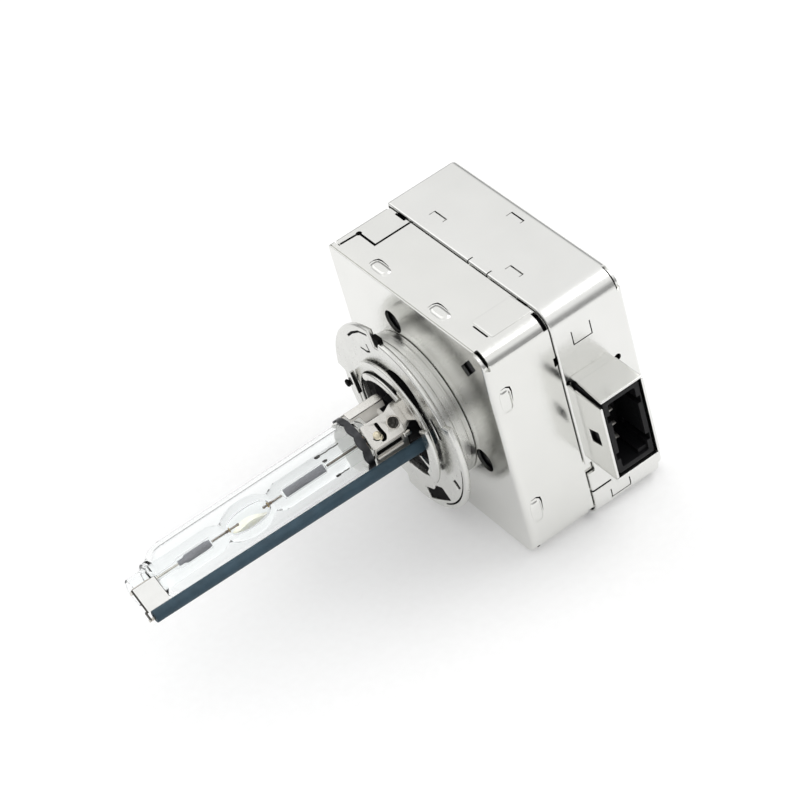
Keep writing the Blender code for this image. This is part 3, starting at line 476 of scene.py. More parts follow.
def soften(points, radius, steps=4):
    """Round every corner of a loop."""
    out = []
    for i, corner in enumerate(points):
        here = Vector(corner)
        before = Vector(points[i - 1]) - here
        after = Vector(points[(i + 1) % len(points)]) - here
        reach = min(radius, before.length * 0.45, after.length * 0.45)
        start, end = here + before.normalized() * reach, here + after.normalized() * reach
        for k in range(steps + 1):
            t = k / steps
            out.append(tuple(start * (1 - t) ** 2 + here * 2 * t * (1 - t) + end * t ** 2))
    return out


def from_y(start, *points):
    """(along, radius) points whose along is counted from a start."""
    return [(start + along, radius) for along, radius in points]


def smooth(points, steps=6):
    """Catmull-Rom curve through (along, radius) points."""
    out = []
    count = len(points)
    for i in range(count - 1):
        p0, p1, p2, p3 = (Vector(points[max(0, min(count - 1, i + k))]) for k in (-1, 0, 1, 2))
        for k in range(steps):
            t = k / steps
            spot = 0.5 * (2 * p1 + (p2 - p0) * t + (2 * p0 - 5 * p1 + 4 * p2 - p3) * t ** 2
                          + (3 * p1 - p0 - 3 * p2 + p3) * t ** 3)
            out.append((spot.x, max(0, spot.y)))
    return out + [tuple(points[-1])]


def draft(*shapes):
    """A bare object, in lamp millimetres, to cut or to join."""
    return new_object("draft", mesh_of("draft", shapes))


def combine(target, operation, *shapes):
    """Boolean drawn shapes into a target."""
    tool = draft(*shapes)
    change = target.modifiers.new("change", "BOOLEAN")
    change.operation = operation
    change.solver = "EXACT"
    change.use_self = True
    change.object = tool
    bpy.context.view_layer.update()
    graph = bpy.context.evaluated_depsgraph_get()
    result = bpy.data.meshes.new_from_object(target.evaluated_get(graph))
    target.modifiers.clear()
    target.data = result
    bpy.data.objects.remove(tool)


@shape
def prism(bm, outline, plane, low, high):
    loop = anticlockwise(outline)
    rings = [[bm.verts.new(place(u, v, w, plane)) for u, v in loop] for w in (low, high)]
    stack(bm, rings)
    for ring in rings:
        fill(bm, [loop], ring)


def cut(target, *tools):
    """Cut sharp prisms, each given as (outline, plane, low, high), out of a target."""
    combine(target, "DIFFERENCE", *[prism(*tool) for tool in tools])


def finish_draft(target, *given):
    """Drop a draft's object and make a piece of its mesh."""
    mesh = target.data
    bpy.data.objects.remove(target)
    finish_piece(mesh, *given)


# ---- igniter box
BUMP_X, BUMP_Z = (-6.5, 8.9), (12.3, -10.3)  # pressed bumps of the flat and of the upright walls
BUMP_TOP_Y, BUMP_SIDE_Y = 8.1, 7.9


@shape
def cup(bm, half, corner_r, face_y, inward, sheet, bend_r, rim, holes=()):
    """A sheet cup on the box's square section: the face's bend, the rim's (y, offset) points and back inside.
    The bend has the first radius of bend_r, and on the right wall the second."""
    columns = []
    for sx, sz, radius, start in ((1, 1, corner_r, 0), (-1, 1, SMALL_R, 90), (-1, -1, SMALL_R, 180),
                                  (1, -1, corner_r, 270)):
        steps = 16 if radius > 1 else 6
        for k in range(steps + 1):
            angle = radians(start + 90 * k / steps)
            normal = Vector((cos(angle), sin(angle)))
            bend_here = bend_r[0] + (bend_r[1] - bend_r[0]) * max(0, normal.x) ** 3
            outside, inside = bend(face_y, inward, bend_here, sheet)
            column = []
            for y, offset in outside + rim + inside:
                turn_r = max(0.05, radius + offset)
                reach = half + offset - turn_r
                spot = Vector((BOX_X + sx * reach, BOX_Z + sz * reach)) + normal * turn_r
                column.append(Vector((spot.x, y, spot.y)))
            columns.append(column)
    loops = [[bm.verts.new(spot) for spot in loop] for loop in zip(*columns)]
    stack(bm, loops)
    depths = (face_y, face_y + inward * sheet)
    walls = [[[bm.verts.new((u, y, v)) for u, v in hole] for y in depths] for hole in holes]
    for wall in walls:
        stack(bm, wall)
    for side, loop in ((0, loops[0]), (1, loops[-1])):
        outlines = [[(vert.co.x, vert.co.z) for vert in loop]] + list(holes)
        fill(bm, outlines, loop + [vert for wall in walls for vert in wall[side]])


def bend(face_y, inward, radius, sheet, steps=6):
    """Quarter bend between a face and a wall, outside and inside, as (y, offset) points."""
    outside, inside = [], []
    inner = max(0.05, radius - sheet)
    for k in range(steps + 1):
        angle = pi / 2 * k / steps
        fall, lead = 1 - cos(angle), 1 - sin(angle)
        outside.append((face_y + inward * radius * fall, -radius * lead))
        inside.append((face_y + inward * (sheet + inner * fall), -sheet - inner * lead))
    return outside, inside[::-1]


def front_shell():
    top, right = BOX_Z + SHELL_HALF, BOX_X + SHELL_HALF
    lining, collar = 0.16, -SHELL_SHEET - 0.16
    rim = from_y(SEAM_Y, (-0.2, 0), (-0.17, -lining))
    rim += from_y(COLLAR_END, (-0.12, -lining), (0, -0.26), (0, -SHELL_SHEET - 0.1), (-0.12, collar))
    rim += from_y(SEAM_Y, (-0.5, collar), (-0.8, -SHELL_SHEET))
    holes = [circle(FACE_HOLE_R, steps=72)] + [circle(2, spot, 36) for spot in FACE_HOLES]
    shell = draft(cup(SHELL_HALF, CORNER_R, FACE_Y, 1, SHELL_SHEET, (0.12, 1.42), rim, holes))
    above, beside = ("XY", top - 1.2, top + 1), ("YZ", right - 1.2, right + 1)
    upper, lower = (right - CORNER_R, top - CORNER_R), (right - CORNER_R, 2 * BOX_Z - top + CORNER_R)
    groove = 0.42
    near = [(-18.6, 7), (-16.1, 7), (-15.9, 10.55), (-11.6, 10.55), (-11.6, 18.2)]
    far = [(x - groove, y + groove) for x, y in near[3:0:-1]]
    seam = near + [(-11.6 - groove, 18.2)] + far + [(-18.6, 7 + groove)]
    window = rectangle(GUARD_Y[0] - GAP, COLLAR_END + 1, GUARD_Z[0] - GAP, GUARD_Z[1] + GAP)
    cuts = [
        (seam, *above),
        (circle(0.5, (-16.1, 10.7), 16), *above),
        (soften(turned_rectangle((17.2, 17), 4.3, 1.9, 45), 0.25), "XZ", FACE_Y - 0.5, FACE_Y + 0.75),
        (arc_band(2.3, 3.4, 6, 84, 16, upper), "XZ", FACE_Y - 0.5, FACE_Y + 0.85),
        (arc_band(1.9, 3.4, 20, 86, 16, upper), "XZ", SEAM_Y - 0.85, SEAM_Y - 0.1),
        (arc_band(1.9, 3.4, -82, -18, 12, lower), "XZ", SEAM_Y - 1.2, SEAM_Y + 0.4),
        (rectangle(-17.7, right - 2.4, FACE_Y + 0.14, FACE_Y + 0.32), "XY", top - 0.42, top + 1),
        (window, *beside),
        (rectangle(SEAM_Y - 0.6, SEAM_Y + 1, 12.6, 14.2), *beside),
    ]
    cuts += [(rectangle(*span, SEAM_Y - 0.6, SEAM_Y + 1), *above)
             for span in ((-18.6, -17.2), (-15.4, -12.9), (15.2, 17.8))]
    cuts += [(hook(x, BUMP_TOP_Y), *above) for x in BUMP_X]
    cuts += [([(v, -u) for u, v in hook(-z, BUMP_SIDE_Y)], *beside) for z in BUMP_Z]
    cut(shell, *cuts)
    cut(shell, (rectangle(15.2, 18.8, 9.45, 9.75), *above),
        (circle(0.28, (6.9, -17.4), 12), "YZ", right - 1.6, right + 1))
    tab = soften(rectangle(14.2, 19.4, 9.95, SEAM_Y - 0.25), 0.3)
    combine(shell, "UNION", plate(tab, top - 0.3, top + 0.09, plane="XY"))
    bumps = []
    for side in (-1, 1):
        reach = side * SHELL_HALF
        bumps += [pressed_bump((x, BUMP_TOP_Y, BOX_Z + reach), (0, 0, side)) for x in BUMP_X]
        bumps += [pressed_bump((BOX_X + reach, BUMP_SIDE_Y, z), (side, 0, 0)) for z in BUMP_Z]
    combine(shell, "UNION", *bumps)
    finish_draft(shell, "shell", "tinned_steel", "tinned_steel", "front_shell")


def hook(u, v):
    """Lanced slit along the far side of a bump, hooked round one of its ends."""
    path = [(-2.45, -0.5, 0.05), (-2.5, 0.4, 0.1), (-2.1, 1.05, 0.13), (-1.3, 1.2, 0.1), (0.6, 1.1, 0.03)]
    return ([(u + a - w * 0.7, v + b + w) for a, b, w in path]
            + [(u + a + w * 0.7, v + b - w) for a, b, w in path[::-1]])


@shape
def pressed_bump(bm, centre, out):
    """A bump pressed outwards: a lens-shaped crest with slanting sides, rooted in the wall."""
    half_length, half_width, height, root = 2.1, 0.95, 0.26, -0.2
    steps, rows, fullness = 36, 6, 0.55
    centre, out = Vector(centre), Vector(out)
    across = Vector((abs(out.z), 0, -abs(out.x)))
    levels = [(1, root)] + [(1 - j / rows, height * sin(pi / 2 * j / rows)) for j in range(rows + 1)]
    rings = []
    for share, rise in levels:
        ring = []
        for u, v in circle(1, steps=steps):
            u = half_length * (0.66 + 0.34 * share) * copysign(abs(u) ** fullness, u)
            v = half_width * (0.5 + 0.5 * share) * copysign(abs(v) ** fullness, v)
            ring.append(bm.verts.new(centre + across * u + ALONG * v + out * rise))
        rings.append(ring)
    stack(bm, rings)
    bm.faces.new(rings[0][::-1])
    bm.faces.new(rings[-1])


def rear_cover():
    rim = from_y(SEAM_Y, (0.3, 0), (0.15, -0.04), (0.04, -0.15), (0, -0.3), (0.02, -COVER_SHEET))
    cover = draft(cup(COVER_HALF, CORNER_R + STEP, BACK_Y, -1, COVER_SHEET, (1.1, 1.1), rim))
    top, right = BOX_Z + COVER_HALF, BOX_X + COVER_HALF
    above, beside = ("XY", top - 1, top + 1), ("YZ", right - 1, right + 1)
    below = ("XY", BOX_Z - COVER_HALF - 1, BOX_Z - COVER_HALF + 1)
    left = ("YZ", BOX_X - COVER_HALF - 1, BOX_X - COVER_HALF + 1)
    corner = CORNER_R + STEP
    upper, lower = (right - corner, top - corner), (right - corner, 2 * BOX_Z - top + corner)
    opening = rectangle(GUARD_Y[0] + COVER_SHEET, GUARD_Y[1] - COVER_SHEET, GUARD_Z[0] + COVER_SHEET,
                        GUARD_Z[1] - COVER_SHEET)
    label = soften(rectangle(BOX_X - 13, BOX_X + 13, BOX_Z - 9, BOX_Z + 9), 1.5, 6)
    cuts = [
        (opening, *beside),
        (arc_band(2.3, 4.2, 4, 86, 16, upper), "XZ", BACK_Y - 1.1, BACK_Y + 1),
        (arc_band(2.3, 4.2, 274, 356, 16, lower), "XZ", BACK_Y - 1.1, BACK_Y + 1),
        (circle(0.62, (GUARD_Y[1] + 0.75, 7.6), 16), *beside),
        (circle(0.45, (GUARD_Y[0] - 0.1, GUARD_Z[1] - 0.1), 16), *beside),
        (rectangle(SEAM_Y - 1, SEAM_Y + 3.6, -13.5, -13.15), *beside),
        (rectangle(SEAM_Y - 1, SEAM_Y + 1.3, -9.7, -7.6), *beside),
        (label, "XZ", BACK_Y - 0.14, BACK_Y + 1),
        (u_slit(20.7, 24.3, 14.6, 17.2), *beside),
        (u_slit(20.7, 24.5, -16.8, -15), *beside),
        (u_slit(20.7, 24.3, 12.6, 15.2), *left),
        (u_slit(20.7, 24.3, -12.8, -10.2), *left),
    ]
    for wall in (above, below):
        cuts += [(half_pierce(x, y), *wall) for x, y in ((-8.9, 21.15), (10.65, 21.1), (0.85, 28.7))]
    cuts += [(circle(0.9, (BOX_X + x, BOX_Z + z), 24), "XZ", BACK_Y - 0.22, BACK_Y + 1)
             for x in (-16.2, 16.2) for z in (-14.5, 14.5)]
    cuts += [(rectangle(x - 0.12, x + 0.12, SEAM_Y - 1, SEAM_Y + 1), *above) for x in (3, 7.8)]
    cut(cover, *cuts)
    finish_draft(cover, "cover", "cover_steel", "tinned_steel", "rear_cover")


def half_pierce(x, y):
    """Slit with two short legs towards the front, round a tongue pressed inwards."""
    return [(x + u, y + v) for u, v in ((-1.6, 0.26), (-1.6, -0.9), (-1.48, -0.9), (-1.48, 0),
                                        (1.48, 0), (1.48, -0.6), (1.6, -0.6), (1.6, 0.26))]


def u_slit(y0, y1, z0, z1, width=0.2):
    """U-shaped slit on the side, open at the top."""
    return [(y0, z1), (y0, z0), (y1, z0), (y1, z1), (y1 - width, z1), (y1 - width, z0 + width),
            (y0 + width, z0 + width), (y0 + width, z1)]


def connector_guard():
    """Sheet flaps bent out of the cover round the socket."""
    root = BOX_X + COVER_HALF - 0.25
    (y0, y1), (z0, z1), sheet = GUARD_Y, GUARD_Z, COVER_SHEET
    diamond = soften([(25.3, 0.9), (25.5, -1.5), (28.1, -1), (27.9, 1.6)], 0.2)
    fold = root + 1.15
    wall = rectangle(root, MOUTH_X, z0 + sheet + 0.05, z1 - sheet - 0.9)
    lid = [(fold, y0 + 0.8), (MOUTH_X, y0 + 0.3), (MOUTH_X, y1 - 0.1), (fold, y1 - 0.1)]
    neck = rectangle(root, fold + 0.3, y0 + 0.9, y1 - 0.25)
    back = rectangle(root, MOUTH_X, z0 + sheet + 0.05, z1 - sheet - 0.05)
    make("connector_guard", "cover_steel", "tinned_steel", [
        plate(soften(wall, 0.2), y0, y0 + sheet, holes=[diamond]),
        plate(soften(lid, 0.2), z1 - sheet, z1, 0.12, plane="XY"),
        plate(neck, z1 - sheet - 0.02, z1 - 0.14, 0.05, plane="XY"),
        plate(soften(rectangle(root, MOUTH_X, y0, y1), 0.2), z0, z0 + sheet, plane="XY"),
        plate(soften(back, 0.2), y1 - sheet, y1),
    ])


def connector_socket():
    low, high = lamp_box("connector_socket")
    wall, floor_x, mouth = 0.9, 22.6, high.x
    y0, y1, z0, z1 = low.y, high.y, low.z, high.z
    well = soften(rectangle(y0 + wall, y1 - wall, z0 + wall, z1 - wall), 0.4)
    socket = draft(plate(soften(rectangle(y0, y1, z0, z1), 0.5), low.x, mouth, 0.12, [well], "YZ"))
    cut(socket, *[(rectangle(*span, z, z + 1.3), "YZ", 24, mouth + 1) for z in (-3.5, 4)
                  for span in ((y0 + 0.25, y0 + wall + 0.5), (y1 - wall - 0.5, y1 - 0.25))])
    floor = soften(rectangle(y0 + 0.5, y1 - 0.5, z0 + 0.5, z1 - 0.5), 0.3)
    key = rectangle(y1 - wall - 1.6, y1 - 0.4, z0 + 0.4, z0 + wall + 0.8)
    combine(socket, "UNION", plate(floor, low.x + 0.2, floor_x, 0.1, plane="YZ"),
            plate(key, floor_x - 0.3, mouth - 0.5, 0.1, plane="YZ"))
    finish_draft(socket, "socket", "black_plastic", "black_plastic", "connector_socket")


def contact_pins():
    """Flat blades with coined tips, each from the socket's floor."""
    half, soft, length, foot_length = 0.42, 0.5, 8.2, 7.6
    for number in range(1, 5):
        low, high = lamp_box(f"contact_pin_{number}")
        z = (low.z + high.z) / 2
        y = high.y - 0.45
        blade = [(high.x + u, z + v) for u, v in ((-length, -half), (-soft, -half), (0, -0.15), (0, 0.15),
                                                  (-soft, half), (-length, half))]
        foot = rectangle(low.x + 0.02, high.x - foot_length, low.y + 0.1, y + 0.38)
        shapes = [plate(soften(blade, 0.08), y - 0.4, y + 0.4), plate(foot, z - 0.4, z + 0.4, plane="XY")]
        # the pins' look is nickel painted darker for the shade inside the socket
        make(f"pin_{number}", "pin", "nickel", shapes, f"contact_pin_{number}")


# ---- lamp base
LOBE_R, RECESS_R, NOTCH_R, BORE_R = 16.45, 14.6, 13.5, 9.6
# slots through the flange, and how deep the near-black plug of painted shade lies in each
FLANGE_SLOTS = [
    (soften([(1.8, -13.5), (4.6, -12.4), (5.4, -11), (7.4, -10.2), (9.2, -11.8), (4.9, -14.3),
             (2.4, -15.6)], 0.25, 3), 0.3),
    (soften(turned_rectangle((12.7, -6.1), 1.5, 1.5, 45), 0.12, 3), 0.35),
    (arc_band(11.4, 12.4, 12, 30, 8), 0.12),
    (ribbon([(-9.6, 11.2), (-7.8, 12.9), (-5.4, 14.5), (-2.9, 15.2)], 0.32), 0.08),
    (ribbon([(-4, 12.7), (-3.5, 11.5), (-4.4, 11), (-6.2, 10.8)], 0.35), 0.08),
    (ribbon(arc(15.5, -62, -5, 20), 0.22), 0.06),
]


def flange_plate():
    outline = arc(LOBE_R, -103, 24, 48) + arc(RECESS_R, 25, 91.5, 24) + arc(NOTCH_R, 92.5, 97.5, 3)
    outline += arc(LOBE_R, 98.5, 175, 32) + arc(RECESS_R, 176, 256, 28)
    bore = arc(BORE_R, 86, 255, 40) + arc(10.5, 262, 310, 14) + arc(BORE_R, 317, 400, 24)
    for k in range(17):
        angle, reach = radians(42 + 42 * k / 16), 10.6 + 1.25 * sin(pi * k / 16) ** 0.7
        bore.append((reach * cos(angle), reach * sin(angle)))
    holes = [bore] + [slot for slot, sunk in FLANGE_SLOTS]
    flange = plate(outline, FLANGE_FRONT, FLANGE_FRONT + 1, 0.35, holes)
    make("flange", "ring_steel", "ring_steel", [flange], "flange_plate")


def flange_shade_plugs():
    """Near-black pieces of painted shade in the flange's slots, the notch of its rim and the gap behind its
    bore.
    """
    front = FLANGE_FRONT
    plugs = [plate(offset_loop(anticlockwise(slot), -0.02), front + sunk, front + 0.98, 0)
             for slot, sunk in FLANGE_SLOTS]
    make("flange_shade_plugs", "painted_shade_black", "black_plastic", plugs + [
        plate(arc_band(13.3, 15.3, 91.5, 98.5, 4), front + 0.35, front + 1.2, 0.1),
        plate(circle(0.65, (-14.3, -1.3), 20), front - 0.5, front - 0.02, 0.2),
        plate(arc_band(8.8, 10.25, 40, 86, 16), 0.72, 2.25, 0.05),
    ])


def base_drum():
    front, foot = lamp_box("base_drum")[0].y, FACE_Y - 0.06
    inside, lip = DRUM_R - 0.5, DRUM_R - 0.12
    profile = from_y(front, (0.1, inside), (0, inside + 0.1), (0, DRUM_R - 0.35), (0.1, DRUM_R - 0.1),
                     (0.35, DRUM_R), (0.95, DRUM_R), (1.02, lip), (1.2, lip), (1.3, DRUM_R - 0.02))
    profile += from_y(foot, (-1, DRUM_R), (-0.9, DRUM_R - 0.06), (-0.7, lip), (-0.1, lip), (0, lip - 0.1),
                      (0, inside))
    make("drum", "drum_steel", "ring_steel", [lathe(profile, 160)], "base_drum")


def mount_ring():
    front, back = 0.1, 0.7
    slit = arc_band(9.3, 9.8, 150, 200, 10)
    tongue = soften(arc_band(9.2, 11.5, -38, 23, 24), 0.7)
    strip = soften([(4.7, -4.3), (5.3, -4.1), (8.6, -6), (8, -6.4)], 0.12)
    leaf = soften([(-9.4, 5), (-8.9, 5.2), (-8.1, 1.2), (-8.4, 1)], 0.1)
    arch = [(u, -0.25, v) for u, v in arc(8.15, 127, 60, 36, (-0.2, -0.3))]
    lip = [(0.62 * u, 0.35 * v) for u, v in circle(1, steps=20)]
    make("ring", "ring_steel", "ring_steel",
         [plate(soften(arc_band(8.7, 10.4, -24, 256, 96), 0.3), front, back, 0.2, [slit])], "mount_ring")
    make("ring_tongue", "ring_steel", "ring_steel",
         [plate(tongue, -0.6, front - 0.02, 0.28), plate(strip, front, front + 0.4, 0.1)])
    make("ring_leaf", "bright_strip", "ring_steel", [plate(leaf, -0.8, 0, 0.1)])
    make("ring_arch", "ring_steel", "ring_steel", [sweep(arch, lip, ALONG)])
    bridge = arc_band(5.15, 9, 33, 66, 12)
    make("ring_bridge", "leaf_steel", "ring_steel", [plate(bridge, 0.02, 0.6, 0.12)])


def base_core():
    low, high = lamp_box("base_core")
    front, foot = low.y, FACE_Y - GAP
    radius, neck, bore, seat = (high.x - low.x) / 2, FACE_HOLE_R - GAP, 1.5, 4.3
    seat_y, disc, waist = -2.6, -2, -0.3
    profile = from_y(front, (0.9, bore), (0.9, 8.2), (0, 8.5), (0, radius - 0.3), (0.3, radius))
    profile += [(foot, radius), (foot, neck), (high.y, neck), (high.y, bore)]
    make("core", "black_plastic", "black_plastic", [lathe(profile)], "base_core")
    for name, look, turned in (
            ("burner_seat", "alumina", [(seat_y, seat - 0.3), (seat_y + 0.3, seat), (disc, seat)]),
            # the seat's foot is near-black painted shade behind the white seat
            ("seat_shade_foot", "painted_shade_black", [(disc + 0.02, seat - 0.1), (waist, seat - 0.1)]),
            ("seat_neck", "black_plastic", [(waist + 0.02, seat - 0.4), (front + 0.85, seat - 0.1)])):
        closed = [(turned[0][0], bore), *turned, (turned[-1][0], bore)]
        make(name, look, "black_plastic", [lathe(closed, 64)])


# ---- burner holder
CAGE_R = 5.1
CAGE_FRONT = -6.9
LEAF_HALF = CAGE_R * tan(radians(22.5)) - 0.05
LEAF_SHEET = 0.28
MAIN_LEAF, ROD_LEAF = 43, -2  # directions of the leaf seen from the front and of the one beside the rod
EYE_Y, NUGGET_Y = -1.95, -5.2


def on_flat(degrees):
    """Map a leaf's own axes (across, along the lamp, outward) to the lamp's axes."""
    angle = radians(degrees)
    normal = Vector((cos(angle), 0, sin(angle)))
    across = Vector((-sin(angle), 0, cos(angle)))
    return lambda u, v, w: normal * (CAGE_R + w) + across * u + ALONG * v


def leaf(outline, degrees, holes=(), low=-LEAF_SHEET, high=0, edge=0.07):
    return plate(outline, low, high, edge, holes, put=on_flat(degrees))


def boss(u, v, *profile):
    return button(on_flat(MAIN_LEAF), u, v, profile)


def burner_holder():
    half, front = LEAF_HALF, CAGE_FRONT
    comma = ribbon([(1.4, -4.4), (0.2, -4.3), (-0.95, -4.1), (-1.4, -4.35), (-1.35, -4.95)], 0.55)
    main = [(-half, front), (half, front), (half, -2.2), (half + 0.6, -1), (half + 0.8, 0.5),
            (-half * 0.6, 0.5), (-half, -0.9)]
    slot = soften(rectangle(0.8, 1.65, -6.6, -1.9), 0.15)
    side = soften(rectangle(-half, half, front, -0.9), 0.3)
    leaves = [leaf(soften(main, 0.35), MAIN_LEAF, [soften(comma, 0.27), circle(0.9, (0, EYE_Y), 28)]),
              leaf(soften(rectangle(0.45, half, front, -0.6), 0.2), 88),
              leaf(soften(rectangle(1.2, 2, -1.7, -0.35), 0.2), 0, (), 0.03, 0.55, 0.12)]
    leaves += [leaf(side, degrees, [slot]) for degrees in (133, 178, 223, 268, 313)]
    make("holder", "leaf_steel", "ring_steel", leaves, "burner_holder")

    edge = 4.95
    wall = soften([(front, edge), (front, 4.62), (-5.3, 4.58), (-4.9, 3.6), (-1, 3.6), (-0.7, edge)], 0.15)
    rib = [on_flat(ROD_LEAF)(0.25, v, 0.02) for v in (-6.7, -5.2, -3.6, -2)]
    make("holder_wall", "satin_steel", "ring_steel", [
        plate(wall, -0.62, -0.36, 0.06, put=lambda u, v, w: Vector((w + 0.9 * (edge - v), u, v))),
        leaf(side, ROD_LEAF, [slot]), sweep(rib, circle(0.34, steps=16))])
    # near-black sheets behind the leaves' slots and eye paint the shade seen through them
    make("holder_shade_backing", "painted_shade_black", "ring_steel", [
        leaf(soften(rectangle(-half, half, front + 0.6, -1), 0.3), MAIN_LEAF, (), -0.85, -0.6, 0.06),
        leaf(soften(rectangle(0.6, 1.9, -6.75, -1.75), 0.1), ROD_LEAF, (), -0.6, -0.4, 0.04)])
    make("holder_weld", "nickel", "ring_steel",
         [boss(0, EYE_Y, (0, 1.12), (0.08, 1.08), (0.1, 0.98), (0.05, 0.9), (0, 0.88))])
    burnt = [boss(0, EYE_Y, (-0.3, 0), (-0.3, 0.9), (0.02, 0.9), (-0.1, 0.5), (0.04, 0.3), (0, 0))]
    burnt += [boss(u, v, (0, 0), (0, 0.3), (0.08, 0.2), (0.1, 0))
              for u, v in ((-0.35, -2.2), (0.3, -1.6), (0.2, -2.4))]
    for outer, start, end, steps in ((0.86, 150, 262, 14), (0.8, 70, 118, 8)):
        crescent = soften(arc_band(0.5, outer, start, end, steps, (-0.3, NUGGET_Y)), 0.1)
        burnt.append(leaf(crescent, MAIN_LEAF, (), -0.1, 0.08, 0.03))
    make("holder_emboss", "burnt_weld", "ring_steel", burnt)
    make("holder_nugget", "nugget", "ring_steel", [
        boss(-0.35, NUGGET_Y, (0, 0), (0, 0.7), (0.14, 0.6), (0.26, 0.3), (0.2, 0)),
        boss(-0.75, -4.9, (0, 0), (0, 0.5), (0.1, 0.4), (0.16, 0.2), (0.14, 0))])


@shape
def button(bm, put, u0, v0, profile):
    """A small turned boss on a leaf, from (outward, radius) points."""
    rings = []
    for height, radius in profile:
        spots = circle(radius, (u0, v0), 28) if radius else [(u0, v0)]
        rings.append([bm.verts.new(put(u, v, height)) for u, v in spots])
    stack(bm, rings)


@shape
def wavy_band(bm, profile, middle, wave, away, count=240):
    """A ring round the axis whose front edge waves, and stands back on the side of the main leaf."""
    loops = []
    for y, radius in profile:
        loop = []
        for k in range(count):
            angle = 2 * pi * k / count
            lean = away * (0.5 - 0.5 * cos(angle - radians(MAIN_LEAF)))
            edge = y - wave * abs(sin(6 * angle)) + lean if y < middle else y
            loop.append(bm.verts.new(polar(radius, angle, edge)))
        loops.append(loop)
    stack(bm, loops, True)


def clamp_band():
    low, high = lamp_box("clamp_band")
    outer, inner = (high.x - low.x) / 2, TUBE_R + 0.25
    rear, front, soft = high.y, low.y + 0.35, 0.08
    profile = [(rear, inner), (rear, outer - soft), (rear - soft, outer), (front + soft, outer),
               (front, outer - soft), (front, inner)]
    band = wavy_band(profile, (front + rear) / 2, 0.35, 0.85)
    make("band", "dark_band", "dark_band", [band], "clamp_band")
    cement = arc_band(TUBE_R + 0.08, TUBE_R + 0.22, 118, 328, 60)
    # the cement's look glows a little: painted light for the light coming down the tube
    make("burner_cement", "cement", "dark_band", [plate(cement, front - 0.2, -1.2, 0.03)])


# ---- burner
def outer_tube():
    neck, bore = LEG_R + 0.12, TUBE_R - 0.75
    front, rear = TUBE_LOW.y, TUBE_HIGH.y
    shoulder = from_y(front, (0.15, 3), (0.7, 3.02), (1.3, 3.25), (1.8, 3.75), (2.6, 4.2), (3.4, 4.42),
                      (4.4, TUBE_R))
    rear_out = from_y(rear, (-2.6, TUBE_R), (-1.6, 4.35), (-0.7, 3.8), (0, 3.2))
    rear_in = from_y(rear, (-1.2, neck), (-1.5, 2.9), (-2.2, bore - 0.2), (-2.9, bore))
    front_in = from_y(front, (4.2, bore), (3.2, bore - 0.15), (2.5, 3.3), (1.9, 2.75), (1.6, neck))
    outside = [(front, neck), (front, 2.85)] + smooth(shoulder) + smooth(rear_out)
    inside = [(rear, neck)] + smooth(rear_in) + smooth(front_in)
    make("tube", "quartz", "quartz", [lathe(outside + inside)], "outer_tube")


def arc_tube():
    tail_bore, end_bore, bore, narrow = LEG_R - 0.42, 0.4, 0.78, 0.24
    rear = VESSEL_HIGH.y
    outside = [(TAIL_Y, LEG_R - 0.12), (TAIL_Y + 0.12, LEG_R), (-43, LEG_R), (-34.6, LEG_R)]
    outside += smooth([(-34, LEG_R), (-33, 2), (-32.3, 1.62), (-31.6, 1.75), (-30.6, 2.4),
                               (-29.2, 2.86), (-27.6, 3), (-26, 2.86), (-24.7, 2.4), (-23.8, 1.75),
                               (-23.2, 1.55), (-22.5, 1.9), (-21.5, LEG_R)], 5)
    outside += [(rear - 0.1, LEG_R), (rear, LEG_R - 0.1)]
    inside = [(rear, end_bore), (-13.3, end_bore), (-13.5, bore), (-20.9, bore), (-21.2, narrow)]
    inside += smooth([(-23.9, narrow), (-24.2, 0.75), (-25, 1.2), (-26.1, 1.42), (-27.5, 1.5),
                              (-28.9, 1.42), (-30, 1.2), (-30.9, 0.75), (-31.2, narrow)], 5)
    inside += [(-34.3, narrow), (-34.5, bore), (-40.2, bore), (-41.2, end_bore), (-43.4, end_bore)]
    inside += smooth([(-43.9, 0.5), (-44.6, 1.2), (-45.4, tail_bore - 0.15), (-46.3, tail_bore)], 5)
    inside += [(TAIL_Y, tail_bore)]
    make("vessel", "inner_quartz", "quartz", [lathe(outside + inside, 72)], "arc_tube")


def electrodes():
    """Wires with a rounded bead at the tip."""
    radius, bead = 0.17, 0.24
    for end, sign in (("front", -1), ("rear", 1)):
        node = end + "_electrode"
        root, tip = [corner.y for corner in lamp_box(node)][::-sign]
        dome = [(tip + sign * bead * (1 - cos(turn)), bead * sin(turn))
                for turn in [pi * k / 12 for k in range(10)]]
        wire = [(tip + sign * 0.7, radius), (root, radius), (root, 0)]
        make("electrode_" + end, "tungsten", "tungsten", [lathe(dome + wire, 24)], node)


def foils():
    """Feather-edged foils; the front one narrows at both ends."""
    turn = radians(-45)
    across = Vector((cos(turn), 0, sin(turn)))
    normal = Vector((-sin(turn), 0, cos(turn)))
    half_width = 0.68
    for name, node in (("foil_front", "front_foil"), ("foil_rear", "rear_foil")):
        low, high = lamp_box(node)

        def spots(t, s):
            taper = 1
            if name == "foil_front":
                taper = 0.62 + 0.38 * min(1, max(0, (t - 0.16) / 0.06))
                taper *= 1 if t < 0.86 else 1 - 1.6 * (t - 0.86)
            y = low.y + (high.y - low.y) * t
            thick = 0.03 * (1 - s * s) + 0.004
            ripple = 0.008 * sin(7 * y + 2 * s)
            centre = ALONG * y + across * (half_width * taper * s) + normal * ripple
            return centre + normal * thick, centre - normal * thick
        make(name, "foil", "foil", [slab(40, 10, spots)], node)


